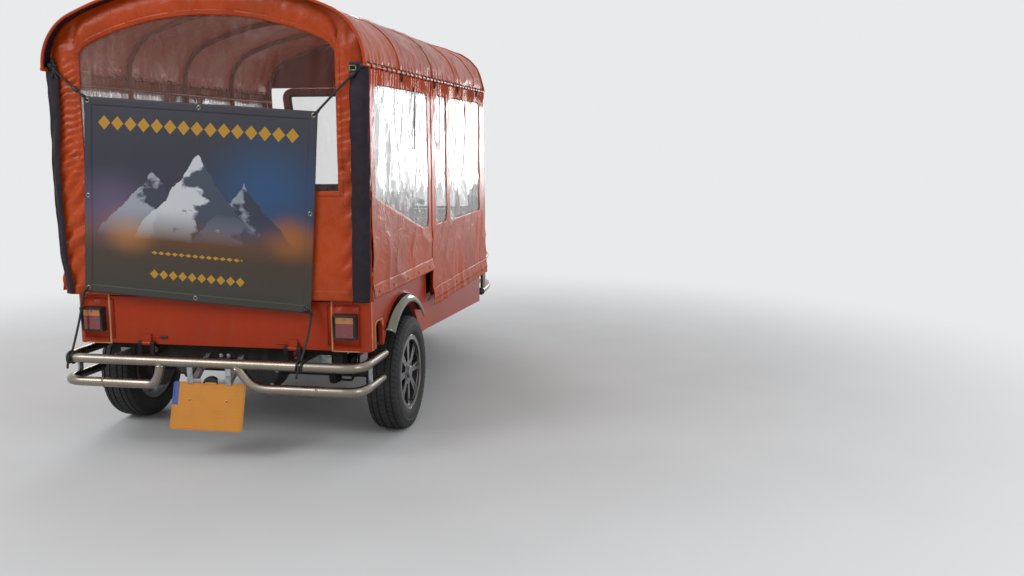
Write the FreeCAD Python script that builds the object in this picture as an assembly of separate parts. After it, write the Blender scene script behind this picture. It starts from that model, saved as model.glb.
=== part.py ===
# Auto rickshaw: three road wheels, steel lower body, hooped soft canopy with weather curtains.
# Millimetres. +X is forward, +Y is left, +Z is up. Stations along X are written from the rear axle,
# and every piece is moved at the end so that the origin is on the ground, midway along the vehicle.
import FreeCAD, Part
import math
import os

V = FreeCAD.Vector
SEAT = 0.3                      # gap left between a piece and what it rests on

# Wheels
WHEELBASE = 2200.0
TYRE_RADIUS = 274.0
TYRE_WIDTH = 157.0
TYRE_SHOULDER = 26.0
BEAD_RADIUS = 166.0
BEAD_HEIGHT = 7.0               # tyre wall standing over the rim flange
RIM_FLANGE_RADIUS = 182.0
RIM_WIDTH = 138.0
RIM_WALL = 7.0
SPOKES = 8
SPOKE_THICKNESS = 20.0
HUB_RADIUS = 58.0
CAP_RADIUS = 30.0
CAP_RISE = 8.0
LUG_HOLES = 4
LUG_CIRCLE_RADIUS = 44.0
LUG_HOLE_RADIUS = 8.0
LUG_HOLE_DEPTH = 14.0

# Lower body
BODY_HALF_WIDTH = 700.0
REAR_WHEEL_INSET = 27.0
REAR_WHEEL_Y = BODY_HALF_WIDTH - REAR_WHEEL_INSET
BODY_REAR_X = -490.0
BODY_BOTTOM_Z = 470.0
BELT_Z = 800.0
WALL = 18.0
FLANGE = 45.0                   # inward flange on top of the body sides
FLANGE_THICKNESS = 10.0
QUARTER_FRONT_X = 450.0
QUARTER_CORNER = 40.0
SILL_SETBACK = 400.0
SILL_FRONT_X = WHEELBASE - SILL_SETBACK
SILL_TOP_Z = 560.0
SILL_REAR_BOTTOM_Z = 400.0
SILL_FRONT_BOTTOM_Z = 335.0
ARCH_CENTRE_Z = 290.0
ARCH_RADIUS = 335.0
TRIM_WIDTH = 38.0
TRIM_REACH = 45.0
TRIM_THICKNESS = 4.0
TRIM_END_DEG = 41.0             # where the arch trim ends, above the horizontal
SLOT_REAR_X = -405.0
SLOT_WIDTH = 100.0
SLOT_TOP_Z = 590.0
GATE_INSET = 170.0
GATE_HALF_WIDTH = BODY_HALF_WIDTH - GATE_INSET
GATE_TOP_Z = 690.0
GATE_GAP = 5.0
GATE_SKIN = 5.0                 # sheet left between the stiffening ribs inside
GATE_RIB = 30.0
GATE_BAYS = 3
HINGE_INSET = 180.0
HINGE_Y = GATE_HALF_WIDTH - HINGE_INSET
HINGE_LENGTH = 80.0
HINGE_PIN_RADIUS = 5.0
HINGE_BARREL_RADIUS = 10.0
HINGE_RUNNING_GAP = 0.05
HINGE_STAND_OFF = 12.0          # hinge axis behind the gate's face

# Floor and inner body
FLOOR_Z = 415.0
FLOOR_THICKNESS = 12.0
FIREWALL_AHEAD = 60.0
FIREWALL_X = SILL_FRONT_X + FIREWALL_AHEAD
FIREWALL_TOP_Z = 880.0
TUB_THICKNESS = 10.0
TUB_DEPTH = 200.0
TUB_INNER_Y = BODY_HALF_WIDTH - TUB_DEPTH
TUNNEL_SETBACK = 920.0
TUNNEL_REAR_X = FIREWALL_X - TUNNEL_SETBACK
TUNNEL_LENGTH = 530.0
TUNNEL_FRONT_X = TUNNEL_REAR_X + TUNNEL_LENGTH
TUNNEL_HALF_WIDTH = 230.0
TUNNEL_TOP_Z = 632.0

# Chassis
RAIL_INSET = 370.0
RAIL_Y = BODY_HALF_WIDTH - RAIL_INSET
RAIL_WIDTH = 50.0
RAIL_HEIGHT = 68.0
RAIL_REAR_X = -446.0
RAIL_KICK_X = 360.0
RAIL_KICK_LENGTH = 160.0
RAIL_FRONT_X = SILL_FRONT_X
CROSS_WIDTH = 60.0
FRONT_CROSS_SETBACK = 300.0
CROSS_STATIONS = (240.0, 700.0, RAIL_FRONT_X - FRONT_CROSS_SETBACK)
REAR_CROSS_INSET = 140.0
REAR_CROSS_HALF_WIDTH = BODY_HALF_WIDTH - REAR_CROSS_INSET
FRONT_CROSS_INSET = 60.0
FRONT_CROSS_HALF_WIDTH = BODY_HALF_WIDTH - FRONT_CROSS_INSET
TOW_PLATE_LENGTH = 50.0
TOW_PLATE_WIDTH = 60.0
TOW_PLATE_THICKNESS = 10.0
TOW_HOLE_RADIUS = 11.0

# Steering
RAKE_DEG = 24.0
AXIS_BEHIND_AXLE = 40.0         # steering axis behind the front axle, at axle height
STEM_RADIUS = 20.0
HEAD_TUBE_RADIUS = 32.0
HEAD_TUBE_LOW = 385.0           # along the steering axis, from axle height
HEAD_TUBE_HIGH = 545.0
NECK_THICKNESS = 50.0
FORK_HALF_WIDTH = 122.0
FORK_LEG_RADIUS = 21.0
CROWN_THICKNESS = 48.0
BAR_ABOVE_DASH = 106.4
BAR_RADIUS = 12.0
GRIP_RADIUS = 16.0
GRIP_LENGTH = 120.0
GRIP_Y = 345.0
BAR_SWEEP = 120.0
FRONT_TYRE_WIDTH = 145.0
MUDGUARD_RADIUS = 302.0
MUDGUARD_HALF_WIDTH = 92.0
MUDGUARD_THICKNESS = 4.0
MUDGUARD_LIP = 26.0             # depth of its turned-down edges
MUDGUARD_SWEEP_DEG = 150.0
MUDGUARD_START_DEG = 22.0

# Canopy and curtains
CANOPY_OVERHANG = 35.0
CANOPY_HALF_WIDTH = BODY_HALF_WIDTH + CANOPY_OVERHANG
CANOPY_RISE = 313.0             # canopy's crown above the windscreen's top edge
CANOPY_CROWN_RADIUS = 1500.0
CANOPY_CORNER_RADIUS = 250.0
EAVE_SKIRT = 12.0               # straight cloth below the corner bend
CANOPY_REAR_X = -575.0
HEADER_SETBACK = 14.0           # canopy's front end behind the windscreen's top edge
CANOPY_THICKNESS = 6.0
HOOP_RADIUS = 14.0
HOOP_FIRST_X = -474.0
HOOP_COUNT = 5
HOOP_FRONT_GAP = 34.0           # last hoop behind the canopy's front end
HOOP_FOOT_INSET = 16.0
HOOP_FOOT_Y = BODY_HALF_WIDTH - HOOP_FOOT_INSET
EAVE_RAIL_RADIUS = 10.0
EAVE_RAIL_DROP = 50.0           # rail below the eave
CURTAIN_THICKNESS = 4.0
CURTAIN_REAR_X = -520.0
REAR_CURTAIN_HEM_Z = 700.0
REAR_WINDOW_MARGIN = 148.0
REAR_WINDOW_HALF_WIDTH = CANOPY_HALF_WIDTH - REAR_WINDOW_MARGIN
REAR_WINDOW_LOW_Z = 1175.0
REAR_WINDOW_HEAD = 135.0        # cloth between the crown and the rear window
SIDE_REAR_HEM_Z = 715.0
SIDE_REAR_FRONT_X = 475.0
SIDE_FRONT_REAR_X = 490.0
SIDE_FRONT_HEM_AHEAD = 50.0
SIDE_FRONT_HEM_X = SILL_FRONT_X + SIDE_FRONT_HEM_AHEAD
SIDE_FRONT_HEM_Z = 525.0
SIDE_WINDOW_LOW_Z = 950.0
SIDE_WINDOW_HEAD = 70.0         # cloth between the eave and the side windows
SIDE_WINDOW_CORNER = 45.0
FRONT_WINDOW_MARGIN = 140.0
# rear end and front end of each clear window, and whether it is in the rear or the front curtain
SIDE_WINDOWS = (
    (-450.0, 410.0, "rear"),
    (560.0, 790.0, "front"),
    (870.0, SILL_FRONT_X - FRONT_WINDOW_MARGIN, "front"),
)

# Banner tied over the rear curtain
BANNER_WIDTH = 1075.0
BANNER_HEIGHT = 866.0
BANNER_THICKNESS = 1.5
BANNER_X = -536.0
BANNER_Y = 53.0
BANNER_Z = 1113.0
BANNER_TURN_DEG = 3.9
EYELET_INSET = 18.0
TIE_RADIUS = 4.0
TIE_BALL_RADIUS = 14.0

# Rear bumper, brackets, plate and lamps
BUMPER_RADIUS = 21.2
BUMPER_X = -610.0
BUMPER_HALF_WIDTH = BODY_HALF_WIDTH
BUMPER_BEND = 90.0
BUMPER_TOP_Z = 425.0
BUMPER_LOW_Z = 320.0
BUMPER_TOP_TIP_X = -262.0
BUMPER_LOW_TIP_X = -300.0
BUMPER_JOIN_Y = 185.0
BUMPER_LOW_INNER_Y = 295.0
BUMPER_STRUT_X = -500.0
BUMPER_STRUT_WIDTH = 30.0
BRACKET_INSET = 110.0
BRACKET_Y = REAR_CROSS_HALF_WIDTH - BRACKET_INSET
BRACKET_THICKNESS = 8.0
PLATE_WIDTH = 340.0
PLATE_HEIGHT = 210.0
PLATE_THICKNESS = 2.0
PLATE_TOP_X = -600.0
PLATE_TOP_Z = 336.0
PLATE_TILT_DEG = 17.0
PLATE_ARM_Y = 70.0
PLATE_ARM_WIDTH = 25.0
LAMP_INSET = 100.0
LAMP_Y = BODY_HALF_WIDTH - LAMP_INSET
LAMP_WIDTH = 102.0
LAMP_LOW_Z = 532.0
LAMP_HEIGHT = 110.0
LAMP_DEPTH = 50.0
LAMP_RIM = 5.0
LAMP_HOOD = 12.0
AMBER_SHARE_HEIGHT = 34.0

# Nose, windscreen and front bumper
SCREEN_AHEAD = 170.0
SCREEN_LOW_X = FIREWALL_X + SCREEN_AHEAD
SCREEN_LEAN_DEG = 14.4
SCREEN_LENGTH = 868.0
SCREEN_INSET = 60.0
SCREEN_HALF_WIDTH = BODY_HALF_WIDTH - SCREEN_INSET
SCREEN_BAR = 40.0
SCREEN_DEPTH = 24.0
SCREEN_CORNER = 70.0
GLASS_THICKNESS = 5.0
HEADER_THICKNESS = 12.0
COWL_LENGTH = 320.0
COWL_FRONT_X = SCREEN_LOW_X + COWL_LENGTH
COWL_OVERHANG = 15.0
COWL_HALF_WIDTH = SCREEN_HALF_WIDTH + COWL_OVERHANG
COWL_NOSE_INSET = 270.0
COWL_NOSE_HALF_WIDTH = COWL_HALF_WIDTH - COWL_NOSE_INSET
COWL_LOW_Z = 620.0
COWL_TOP_Z = 890.0
COWL_NOSE_TOP_Z = 800.0
COWL_WALL = 8.0
LOUVRE_COUNT = 4
LOUVRE_HALF_WIDTH = 118.0
LOUVRE_HEIGHT = 11.0
LOUVRE_PITCH = 26.0
HEADLAMP_Y = 235.0
HEADLAMP_Z = 715.0
HEADLAMP_RADIUS = 88.0
HEADLAMP_DEPTH = 90.0
FRONT_BUMPER_AHEAD = 220.0
FRONT_BUMPER_X = COWL_FRONT_X + FRONT_BUMPER_AHEAD
FRONT_BUMPER_INSET = 10.0
FRONT_BUMPER_HALF_WIDTH = BODY_HALF_WIDTH - FRONT_BUMPER_INSET
FRONT_BUMPER_LOW_Z = 385.0
FRONT_BUMPER_TOP_Z = 600.0
FRONT_BUMPER_RETURN = 680.0
FRONT_BUMPER_END_X = FRONT_BUMPER_X - FRONT_BUMPER_RETURN
FRONT_BUMPER_BEND = 190.0
MIRROR_SETBACK = 125.0
MIRROR_X = SCREEN_LOW_X - MIRROR_SETBACK
MIRROR_INSET = 48.0
MIRROR_Y = BODY_HALF_WIDTH - MIRROR_INSET
MIRROR_Z = 1010.0
MIRROR_WIDTH = 95.0
MIRROR_HEIGHT = 150.0
MIRROR_DEPTH = 30.0
MIRROR_CORNER = 22.0
MIRROR_ARM_RADIUS = 6.0
DASH_HEIGHT = 45.0
DASH_INSET = 95.0
DASH_HALF_WIDTH = COWL_HALF_WIDTH - DASH_INSET
DASH_SETBACK = 60.0             # shelf's front edge behind the windscreen's foot
HOOD_INNER_Y = 110.0
HOOD_OUTER_Y = 330.0
HOOD_HEIGHT = 60.0
HOOD_SLOPE_START = 30.0

# Seats
SEAT_PAD = 110.0
BENCH_INSET = 140.0
BENCH_HALF_WIDTH = BODY_HALF_WIDTH - BENCH_INSET
REAR_BASE_GAP = 20.0
REAR_BASE_HALF_WIDTH = TUB_INNER_Y - REAR_BASE_GAP
FRONT_BASE_INSET = 60.0
FRONT_BASE_HALF_WIDTH = BENCH_HALF_WIDTH - FRONT_BASE_INSET
BASE_SETBACK = 10.0             # bench base inside its cushion's ends
PAD_ROUND = 18.0
REAR_BENCH_X = -190.0
REAR_BENCH_LENGTH = 430.0
REAR_BENCH_Z = 650.0
FRONT_BENCH_SETBACK = 380.0
FRONT_BENCH_X = TUNNEL_REAR_X - FRONT_BENCH_SETBACK
FRONT_BENCH_LENGTH = 310.0
FRONT_BENCH_Z = 560.0
BACK_THICKNESS = 60.0
BACK_HEIGHT = 470.0
DRIVER_SETBACK = 680.0
DRIVER_X = FIREWALL_X - DRIVER_SETBACK
DRIVER_LENGTH = 380.0
DRIVER_HALF_WIDTH = 230.0
DRIVER_BACK_HEIGHT = 380.0

# Running gear
AXLE_TUBE_RADIUS = 35.0
DIFF_RADIUS = 115.0
BACKPLATE_RADIUS = 118.0
BACKPLATE_INSET = 113.0
BACKPLATE_Y = REAR_WHEEL_Y - BACKPLATE_INSET
SPRING_OUTSIDE_RAIL = 100.0
SPRING_Y = RAIL_Y + SPRING_OUTSIDE_RAIL
SPRING_WIDTH = 50.0
LEAF_THICKNESS = 7.0
LEAF_HALF_LENGTHS = (400.0, 290.0, 190.0)
SPRING_EYE_Z = 380.0
SPRING_EYE_RADIUS = 20.0
SPRING_PIN_RADIUS = 9.7
PROP_RADIUS = 28.0
ENGINE_GAP = 30.0
ENGINE_REAR_X = TUNNEL_REAR_X + ENGINE_GAP
ENGINE_FRONT_X = TUNNEL_FRONT_X - ENGINE_GAP
ENGINE_HALF_WIDTH = 190.0
ENGINE_LOW_Z = 235.0
ENGINE_TOP_Z = 590.0
GEARBOX_LENGTH = 180.0
GEARBOX_REAR_X = ENGINE_REAR_X - GEARBOX_LENGTH
GEARBOX_RADIUS = 55.0
PIPE_RADIUS = 21.0
SILENCER_RADIUS = 55.0
SILENCER_FRONT_X = -75.0
SILENCER_LENGTH = 300.0
SILENCER_Y = 235.0
SILENCER_Z = 372.0
PIPE_OUTLET_AHEAD = 30.0        # exhaust outlet ahead of the engine's rear face
PIPE_OUTLET_RISE = 85.0         # and above its underside
PIPE_LEVEL_LENGTH = 380.0
PIPE_RISE_LENGTH = 320.0
PIPE_ELBOW = 22.0
PIPE_BEND = 120.0
DRUM_RADIUS = 104.0
DRUM_WIDTH = 70.0


# Shape helpers
def box(x0, x1, y0, y1, z0, z1):
    return Part.makeBox(x1 - x0, y1 - y0, z1 - z0, V(x0, y0, z0))


def rod(start, end, radius):
    run = end - start
    return Part.makeCylinder(radius, run.Length, start, run)


def mirrored(shape):
    return shape.mirror(V(0, 0, 0), V(0, 1, 0))


def both_sides(shape):
    return Part.makeCompound([shape, mirrored(shape)])


def corner_arc(before, corner, after, radius):
    """Tangent arc of this radius at a corner, as its start, middle and end points."""
    to_before = (before - corner).normalize()
    to_after = (after - corner).normalize()
    half = to_before.getAngle(to_after) / 2
    reach = radius / math.tan(half)
    inward = (to_before + to_after).normalize()
    middle = corner + inward * (radius / math.sin(half) - radius)
    return corner + to_before * reach, middle, corner + to_after * reach


def rounded_path(points, radii, closed=False):
    """Wire of straight runs joined by tangent arcs. A radius of 0 keeps a corner sharp."""
    count = len(points)
    edges = []
    at = points[0]
    stops = range(count) if closed else range(1, count - 1)
    first = None
    for index in stops:
        corner = points[index]
        before = points[index - 1]
        after = points[(index + 1) % count]
        radius = radii[index]
        if radius > 0:
            begin, middle, end = corner_arc(before, corner, after, radius)
        else:
            begin = middle = end = corner
        if closed and first is None:
            first = begin
            at = begin
        if (begin - at).Length > 1e-6:
            edges.append(Part.LineSegment(at, begin).toShape())
        if radius > 0:
            edges.append(Part.Arc(begin, middle, end).toShape())
        at = end
    last = first if closed else points[-1]
    if (last - at).Length > 1e-6:
        edges.append(Part.LineSegment(at, last).toShape())
    return Part.Wire(edges)


def tube(points, bend, radius):
    """Round rod along straight runs with bends of one radius."""
    path = rounded_path(points, [bend] * len(points))
    start = points[0]
    ring = Part.Wire([Part.Circle(start, points[1] - start, radius).toShape()])
    return path.makePipeShell([ring], True, False)


def plate_face(points, radii):
    return Part.Face(rounded_path(points, radii, closed=True))


def prism_y(outline, low, high, radii=None):
    """Outline of (x, z) corners, extruded across the vehicle from low to high."""
    points = [V(x, low, z) for x, z in outline]
    return plate_face(points, radii or [0] * len(points)).extrude(V(0, high - low, 0))


def prism_x(outline, low, high, radii=None):
    """Outline of (y, z) corners, extruded along the vehicle from low to high."""
    points = [V(low, y, z) for y, z in outline]
    return plate_face(points, radii or [0] * len(points)).extrude(V(high - low, 0, 0))


def prism_z(outline, low, high, radii=None):
    """Outline of (x, y) corners, extruded upwards from low to high."""
    points = [V(x, y, low) for x, y in outline]
    return plate_face(points, radii or [0] * len(points)).extrude(V(0, 0, high - low))


def turned(profile, radii, centre, axis=V(0, 1, 0), degrees=360.0):
    """Profile of (radius, station) corners turned about an axis through the centre, from +X."""
    points = [V(centre.x + radius, centre.y + station, centre.z) for radius, station in profile]
    return plate_face(points, radii).revolve(centre, axis, degrees)


def fused(shapes):
    whole = shapes[0].multiFuse(shapes[1:])
    return whole.removeSplitter()


# Windscreen ends, and the canopy and instrument heights that follow them
SCREEN_SINE = math.sin(math.radians(SCREEN_LEAN_DEG))
SCREEN_COSINE = math.cos(math.radians(SCREEN_LEAN_DEG))
SCREEN_LOW_Z = COWL_TOP_Z + SEAT + SCREEN_DEPTH * SCREEN_SINE
SCREEN_TOP_X = SCREEN_LOW_X - SCREEN_LENGTH * SCREEN_SINE
SCREEN_TOP_Z = SCREEN_LOW_Z + SCREEN_LENGTH * SCREEN_COSINE
COWL_REAR_X = FIREWALL_X + SEAT
DASH_Z = COWL_TOP_Z + DASH_HEIGHT
CANOPY_TOP_Z = SCREEN_TOP_Z + CANOPY_RISE
CANOPY_FRONT_X = SCREEN_TOP_X - HEADER_SETBACK
HOOP_PITCH = (CANOPY_FRONT_X - HOOP_FRONT_GAP - HOOP_FIRST_X) / (HOOP_COUNT - 1)

# Canopy section: two straight sides, two corner arcs and a crown arc
CROWN_CENTRE_Z = CANOPY_TOP_Z - CANOPY_CROWN_RADIUS
CORNER_CENTRE_Y = CANOPY_HALF_WIDTH - CANOPY_CORNER_RADIUS
CORNER_CENTRE_Z = CROWN_CENTRE_Z + math.sqrt(
    (CANOPY_CROWN_RADIUS - CANOPY_CORNER_RADIUS) ** 2 - CORNER_CENTRE_Y ** 2)
CANOPY_EAVE_Z = CORNER_CENTRE_Z - EAVE_SKIRT
EAVE_RAIL_Z = CANOPY_EAVE_Z - EAVE_RAIL_DROP
REAR_WINDOW_HIGH_Z = CANOPY_TOP_Z - REAR_WINDOW_HEAD
SIDE_WINDOW_HIGH_Z = CANOPY_EAVE_Z - SIDE_WINDOW_HEAD


def canopy_edges(station, inset, low_z, foot_y=None):
    """Open arch at this X, inset from the canopy's outside. foot_y leans the sides inward."""
    crown = CANOPY_CROWN_RADIUS - inset
    corner = CANOPY_CORNER_RADIUS - inset
    side = CANOPY_HALF_WIDTH - inset
    meet = math.atan2(CORNER_CENTRE_Y, CORNER_CENTRE_Z - CROWN_CENTRE_Z)
    halfway = (math.pi / 2 - meet) / 2
    foot = side if foot_y is None else foot_y
    top = V(station, 0, CROWN_CENTRE_Z + crown)
    edges = []
    for sign in (1, -1):
        join = V(station, sign * crown * math.sin(meet), CROWN_CENTRE_Z + crown * math.cos(meet))
        mid = V(station, sign * (CORNER_CENTRE_Y + corner * math.cos(halfway)),
                CORNER_CENTRE_Z + corner * math.sin(halfway))
        spring = V(station, sign * side, CORNER_CENTRE_Z)
        low = V(station, sign * foot, low_z)
        half = [Part.LineSegment(low, spring).toShape(), Part.Arc(spring, mid, join).toShape()]
        edges.append((half, low, join))
    crown_arc = Part.Arc(edges[0][2], top, edges[1][2]).toShape()
    ordered = edges[0][0] + [crown_arc] + edges[1][0][::-1]
    return ordered, edges[0][1], edges[1][1]


def canopy_solid(low_x, high_x, inset, low_z):
    """Filled arch between two stations."""
    edges, left, right = canopy_edges(low_x, inset, low_z)
    wire = Part.Wire(edges + [Part.LineSegment(right, left).toShape()])
    return Part.Face(wire).extrude(V(high_x - low_x, 0, 0))


# Steering frame: local +Z is the steering axis, local origin on the axis at axle height
STEER_ORIGIN = V(WHEELBASE - AXIS_BEHIND_AXLE, 0, TYRE_RADIUS)
AXLE_AHEAD = AXIS_BEHIND_AXLE * math.cos(math.radians(RAKE_DEG))
AXLE_BELOW = AXIS_BEHIND_AXLE * math.sin(math.radians(RAKE_DEG))
BAR_HEIGHT = (DASH_Z + BAR_ABOVE_DASH - TYRE_RADIUS) / math.cos(math.radians(RAKE_DEG))


def in_steering_frame(shape):
    moved = shape.copy()
    moved.Placement = FreeCAD.Placement(STEER_ORIGIN, FreeCAD.Rotation(V(0, 1, 0), -RAKE_DEG))
    return moved


# Wheels
def tyre(centre, width):
    half = width / 2
    seat_half = RIM_WIDTH / 2 - RIM_WALL - SEAT
    shoulder = TYRE_RADIUS - TYRE_SHOULDER / 2
    profile = [
        (BEAD_RADIUS + SEAT, -seat_half), (RIM_FLANGE_RADIUS + SEAT, -seat_half),
        (RIM_FLANGE_RADIUS + BEAD_HEIGHT, -half + BEAD_HEIGHT),
        (TYRE_RADIUS - 2 * TYRE_SHOULDER, -half), (shoulder, -half + TYRE_SHOULDER / 3),
        (TYRE_RADIUS, -half + TYRE_SHOULDER), (TYRE_RADIUS, half - TYRE_SHOULDER),
        (shoulder, half - TYRE_SHOULDER / 3), (TYRE_RADIUS - 2 * TYRE_SHOULDER, half),
        (RIM_FLANGE_RADIUS + BEAD_HEIGHT, half - BEAD_HEIGHT), (RIM_FLANGE_RADIUS + SEAT, seat_half),
        (BEAD_RADIUS + SEAT, seat_half),
    ]
    return turned(profile, [0] * len(profile), centre)


def rim(centre, outward):
    """Alloy wheel: a barrel with two flanges, spokes from the hub and a centre cap."""
    half = RIM_WIDTH / 2
    well = BEAD_RADIUS - RIM_WALL
    barrel = turned([
        (well, -half), (RIM_FLANGE_RADIUS, -half), (RIM_FLANGE_RADIUS, -half + RIM_WALL),
        (BEAD_RADIUS, -half + RIM_WALL), (BEAD_RADIUS, half - RIM_WALL),
        (RIM_FLANGE_RADIUS, half - RIM_WALL), (RIM_FLANGE_RADIUS, half), (well, half),
    ], [0] * 8, centre)
    face = outward * (half - 12)
    back = face - outward * SPOKE_THICKNESS
    pieces = [barrel]
    hub_back = centre + V(0, outward * (half - 60), 0)
    pieces.append(rod(hub_back, centre + V(0, face, 0), HUB_RADIUS))
    pieces.append(rod(centre + V(0, face, 0), centre + V(0, face + outward * CAP_RISE, 0), CAP_RADIUS))
    low = min(face, back)
    for number in range(SPOKES):
        spoke = prism_y([
            (HUB_RADIUS - 6, -13), (well + 3, -20), (well + 3, -5), (HUB_RADIUS + 45, 0),
            (well + 3, 5), (well + 3, 20), (HUB_RADIUS - 6, 13),
        ], low, low + SPOKE_THICKNESS)
        spoke.rotate(V(0, 0, 0), V(0, 1, 0), 360.0 * number / SPOKES)
        spoke.translate(centre)
        pieces.append(spoke)
    wheel = fused(pieces)
    lug_low = min(face - outward * LUG_HOLE_DEPTH, face + outward)
    lug_high = max(face - outward * LUG_HOLE_DEPTH, face + outward)
    for number in range(LUG_HOLES):
        turn = 2 * math.pi * (number + 0.5) / LUG_HOLES
        aside = V(LUG_CIRCLE_RADIUS * math.cos(turn), 0, LUG_CIRCLE_RADIUS * math.sin(turn))
        wheel = wheel.cut(rod(centre + aside + V(0, lug_low, 0), centre + aside + V(0, lug_high, 0),
                              LUG_HOLE_RADIUS))
    return wheel


# Lower body
def arch_cut(low_y, high_y, radius):
    return rod(V(0, low_y, ARCH_CENTRE_Z), V(0, high_y, ARCH_CENTRE_Z), radius)


def quarter_panel():
    """Left rear body side with its rounded corner, top flange, wheel arch and slot."""
    outer = BODY_HALF_WIDTH
    inner = outer - WALL
    rear = BODY_REAR_X
    low = SILL_REAR_BOTTOM_Z
    plan = [
        (QUARTER_FRONT_X, outer), (QUARTER_FRONT_X, inner), (rear + WALL, inner),
        (rear + WALL, GATE_HALF_WIDTH + GATE_GAP), (rear, GATE_HALF_WIDTH + GATE_GAP), (rear, outer),
    ]
    corner_in = QUARTER_CORNER - WALL
    side = prism_z(plan, low, BELT_Z, [0, 0, corner_in, 0, 0, QUARTER_CORNER])
    flange = box(rear + WALL, QUARTER_FRONT_X, outer - FLANGE, inner + 1,
                 BELT_Z - FLANGE_THICKNESS, BELT_Z)
    shape = fused([side, flange])
    shape = shape.cut(box(rear - 1, 0, GATE_HALF_WIDTH, outer + 1, low - 1, BODY_BOTTOM_Z))
    shape = shape.cut(arch_cut(inner - 1, outer + 1, ARCH_RADIUS))
    top = SLOT_TOP_Z - SLOT_WIDTH / 2
    centre_x = SLOT_REAR_X + SLOT_WIDTH / 2
    slot = box(SLOT_REAR_X, SLOT_REAR_X + SLOT_WIDTH, inner - 1, outer + 1, low, top)
    head = rod(V(centre_x, inner - 1, top), V(centre_x, outer + 1, top), SLOT_WIDTH / 2)
    return shape.cut(slot.fuse(head))


def arch_trim():
    """Flared strip round the left wheel arch, opening outwards."""
    low = BODY_HALF_WIDTH + SEAT
    high = BODY_HALF_WIDTH + TRIM_REACH
    wide = ARCH_RADIUS + TRIM_WIDTH
    section = [
        (wide, low), (wide, low + TRIM_THICKNESS), (ARCH_RADIUS + 8, high),
        (ARCH_RADIUS, high), (ARCH_RADIUS, high - TRIM_THICKNESS), (wide - 12, low),
    ]
    centre = V(0, 0, ARCH_CENTRE_Z)
    sweep = turned(section, [0, 10, 0, 0, 0, 0], centre, V(0, -1, 0), 180.0 - 2 * TRIM_END_DEG)
    sweep.rotate(centre, V(0, 1, 0), -TRIM_END_DEG)
    return sweep


def sill():
    """Left side panel between the rear quarter and the nose, with a top flange."""
    rear = QUARTER_FRONT_X + SEAT
    outer = BODY_HALF_WIDTH
    inner = outer - WALL
    side = prism_y([
        (rear, SILL_REAR_BOTTOM_Z), (SILL_FRONT_X, SILL_FRONT_BOTTOM_Z),
        (SILL_FRONT_X, SILL_TOP_Z), (rear, SILL_TOP_Z),
    ], inner, outer)
    flange = box(rear, SILL_FRONT_X, outer - FLANGE, inner + 1,
                 SILL_TOP_Z - FLANGE_THICKNESS, SILL_TOP_Z)
    return fused([side, flange])


def floor_pan():
    """Stepped floor with wheel tubs, engine tunnel and firewall."""
    rear_z = BODY_BOTTOM_Z + SEAT
    front_z = FLOOR_Z + SEAT
    edge = BODY_HALF_WIDTH - WALL - SEAT
    rear = BODY_REAR_X + WALL + GATE_GAP + 2
    step_x = RAIL_KICK_X + RAIL_KICK_LENGTH + 20
    thick = FLOOR_THICKNESS
    profile = [
        (rear, rear_z), (step_x - thick, rear_z), (step_x - thick, front_z),
        (FIREWALL_X, front_z), (FIREWALL_X, FIREWALL_TOP_Z), (FIREWALL_X - thick, FIREWALL_TOP_Z),
        (FIREWALL_X - thick, front_z + thick), (step_x, front_z + thick),
        (step_x, rear_z + thick), (rear, rear_z + thick),
    ]
    pan = prism_y(profile, -edge, edge)
    # The firewall is narrower than the floor
    narrow = box(SILL_FRONT_X, FIREWALL_X + 1, COWL_HALF_WIDTH, edge + 1,
                 front_z - 1, FIREWALL_TOP_Z + 1)
    pan = pan.cut(narrow).cut(mirrored(narrow))
    tubs = []
    for sign in (1, -1):
        low, high = sorted((sign * TUB_INNER_Y, sign * edge))
        outside = arch_cut(low, high, ARCH_RADIUS + TUB_THICKNESS)
        inside_low = low + (TUB_THICKNESS if sign > 0 else -1)
        inside_high = high + (1 if sign > 0 else -TUB_THICKNESS)
        inside = arch_cut(inside_low, inside_high, ARCH_RADIUS)
        pan = pan.cut(outside)
        under = box(-ARCH_RADIUS - 60, ARCH_RADIUS + 60, low - 2, high + 2, -ARCH_RADIUS, rear_z)
        tubs.append(outside.cut(inside).cut(under))
    wall = 10.0
    tunnel = box(TUNNEL_REAR_X, TUNNEL_FRONT_X, -TUNNEL_HALF_WIDTH, TUNNEL_HALF_WIDTH,
                 front_z, TUNNEL_TOP_Z)
    hollow = box(TUNNEL_REAR_X + wall, TUNNEL_FRONT_X - wall, -TUNNEL_HALF_WIDTH + wall,
                 TUNNEL_HALF_WIDTH - wall, front_z - 1, TUNNEL_TOP_Z - wall)
    pan = fused([pan, tunnel] + tubs).cut(hollow)
    neck_slot = box(RAIL_FRONT_X - CROSS_WIDTH - 1, FIREWALL_X + 1, -NECK_THICKNESS / 2 - 1,
                    NECK_THICKNESS / 2 + 1, front_z - 1, FIREWALL_TOP_Z + 1)
    corner = box(rear - 1, rear + QUARTER_CORNER, edge - QUARTER_CORNER, edge + 1, rear_z - 1,
                 rear_z + thick + 1)
    pan = pan.cut(corner).cut(mirrored(corner))
    return pan.cut(neck_slot)


HINGE_X = BODY_REAR_X - HINGE_STAND_OFF
HINGE_Z = BODY_BOTTOM_Z + HINGE_BARREL_RADIUS
GATE_SWEEP = math.hypot(HINGE_STAND_OFF + WALL, GATE_TOP_Z - HINGE_Z)


def rear_header():
    """Fixed panel above the gate, clear of the gate's inner edge as it swings."""
    half = GATE_HALF_WIDTH + GATE_GAP - SEAT
    return box(BODY_REAR_X, BODY_REAR_X + WALL, -half, half, HINGE_Z + GATE_SWEEP + GATE_GAP, BELT_Z)


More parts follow.
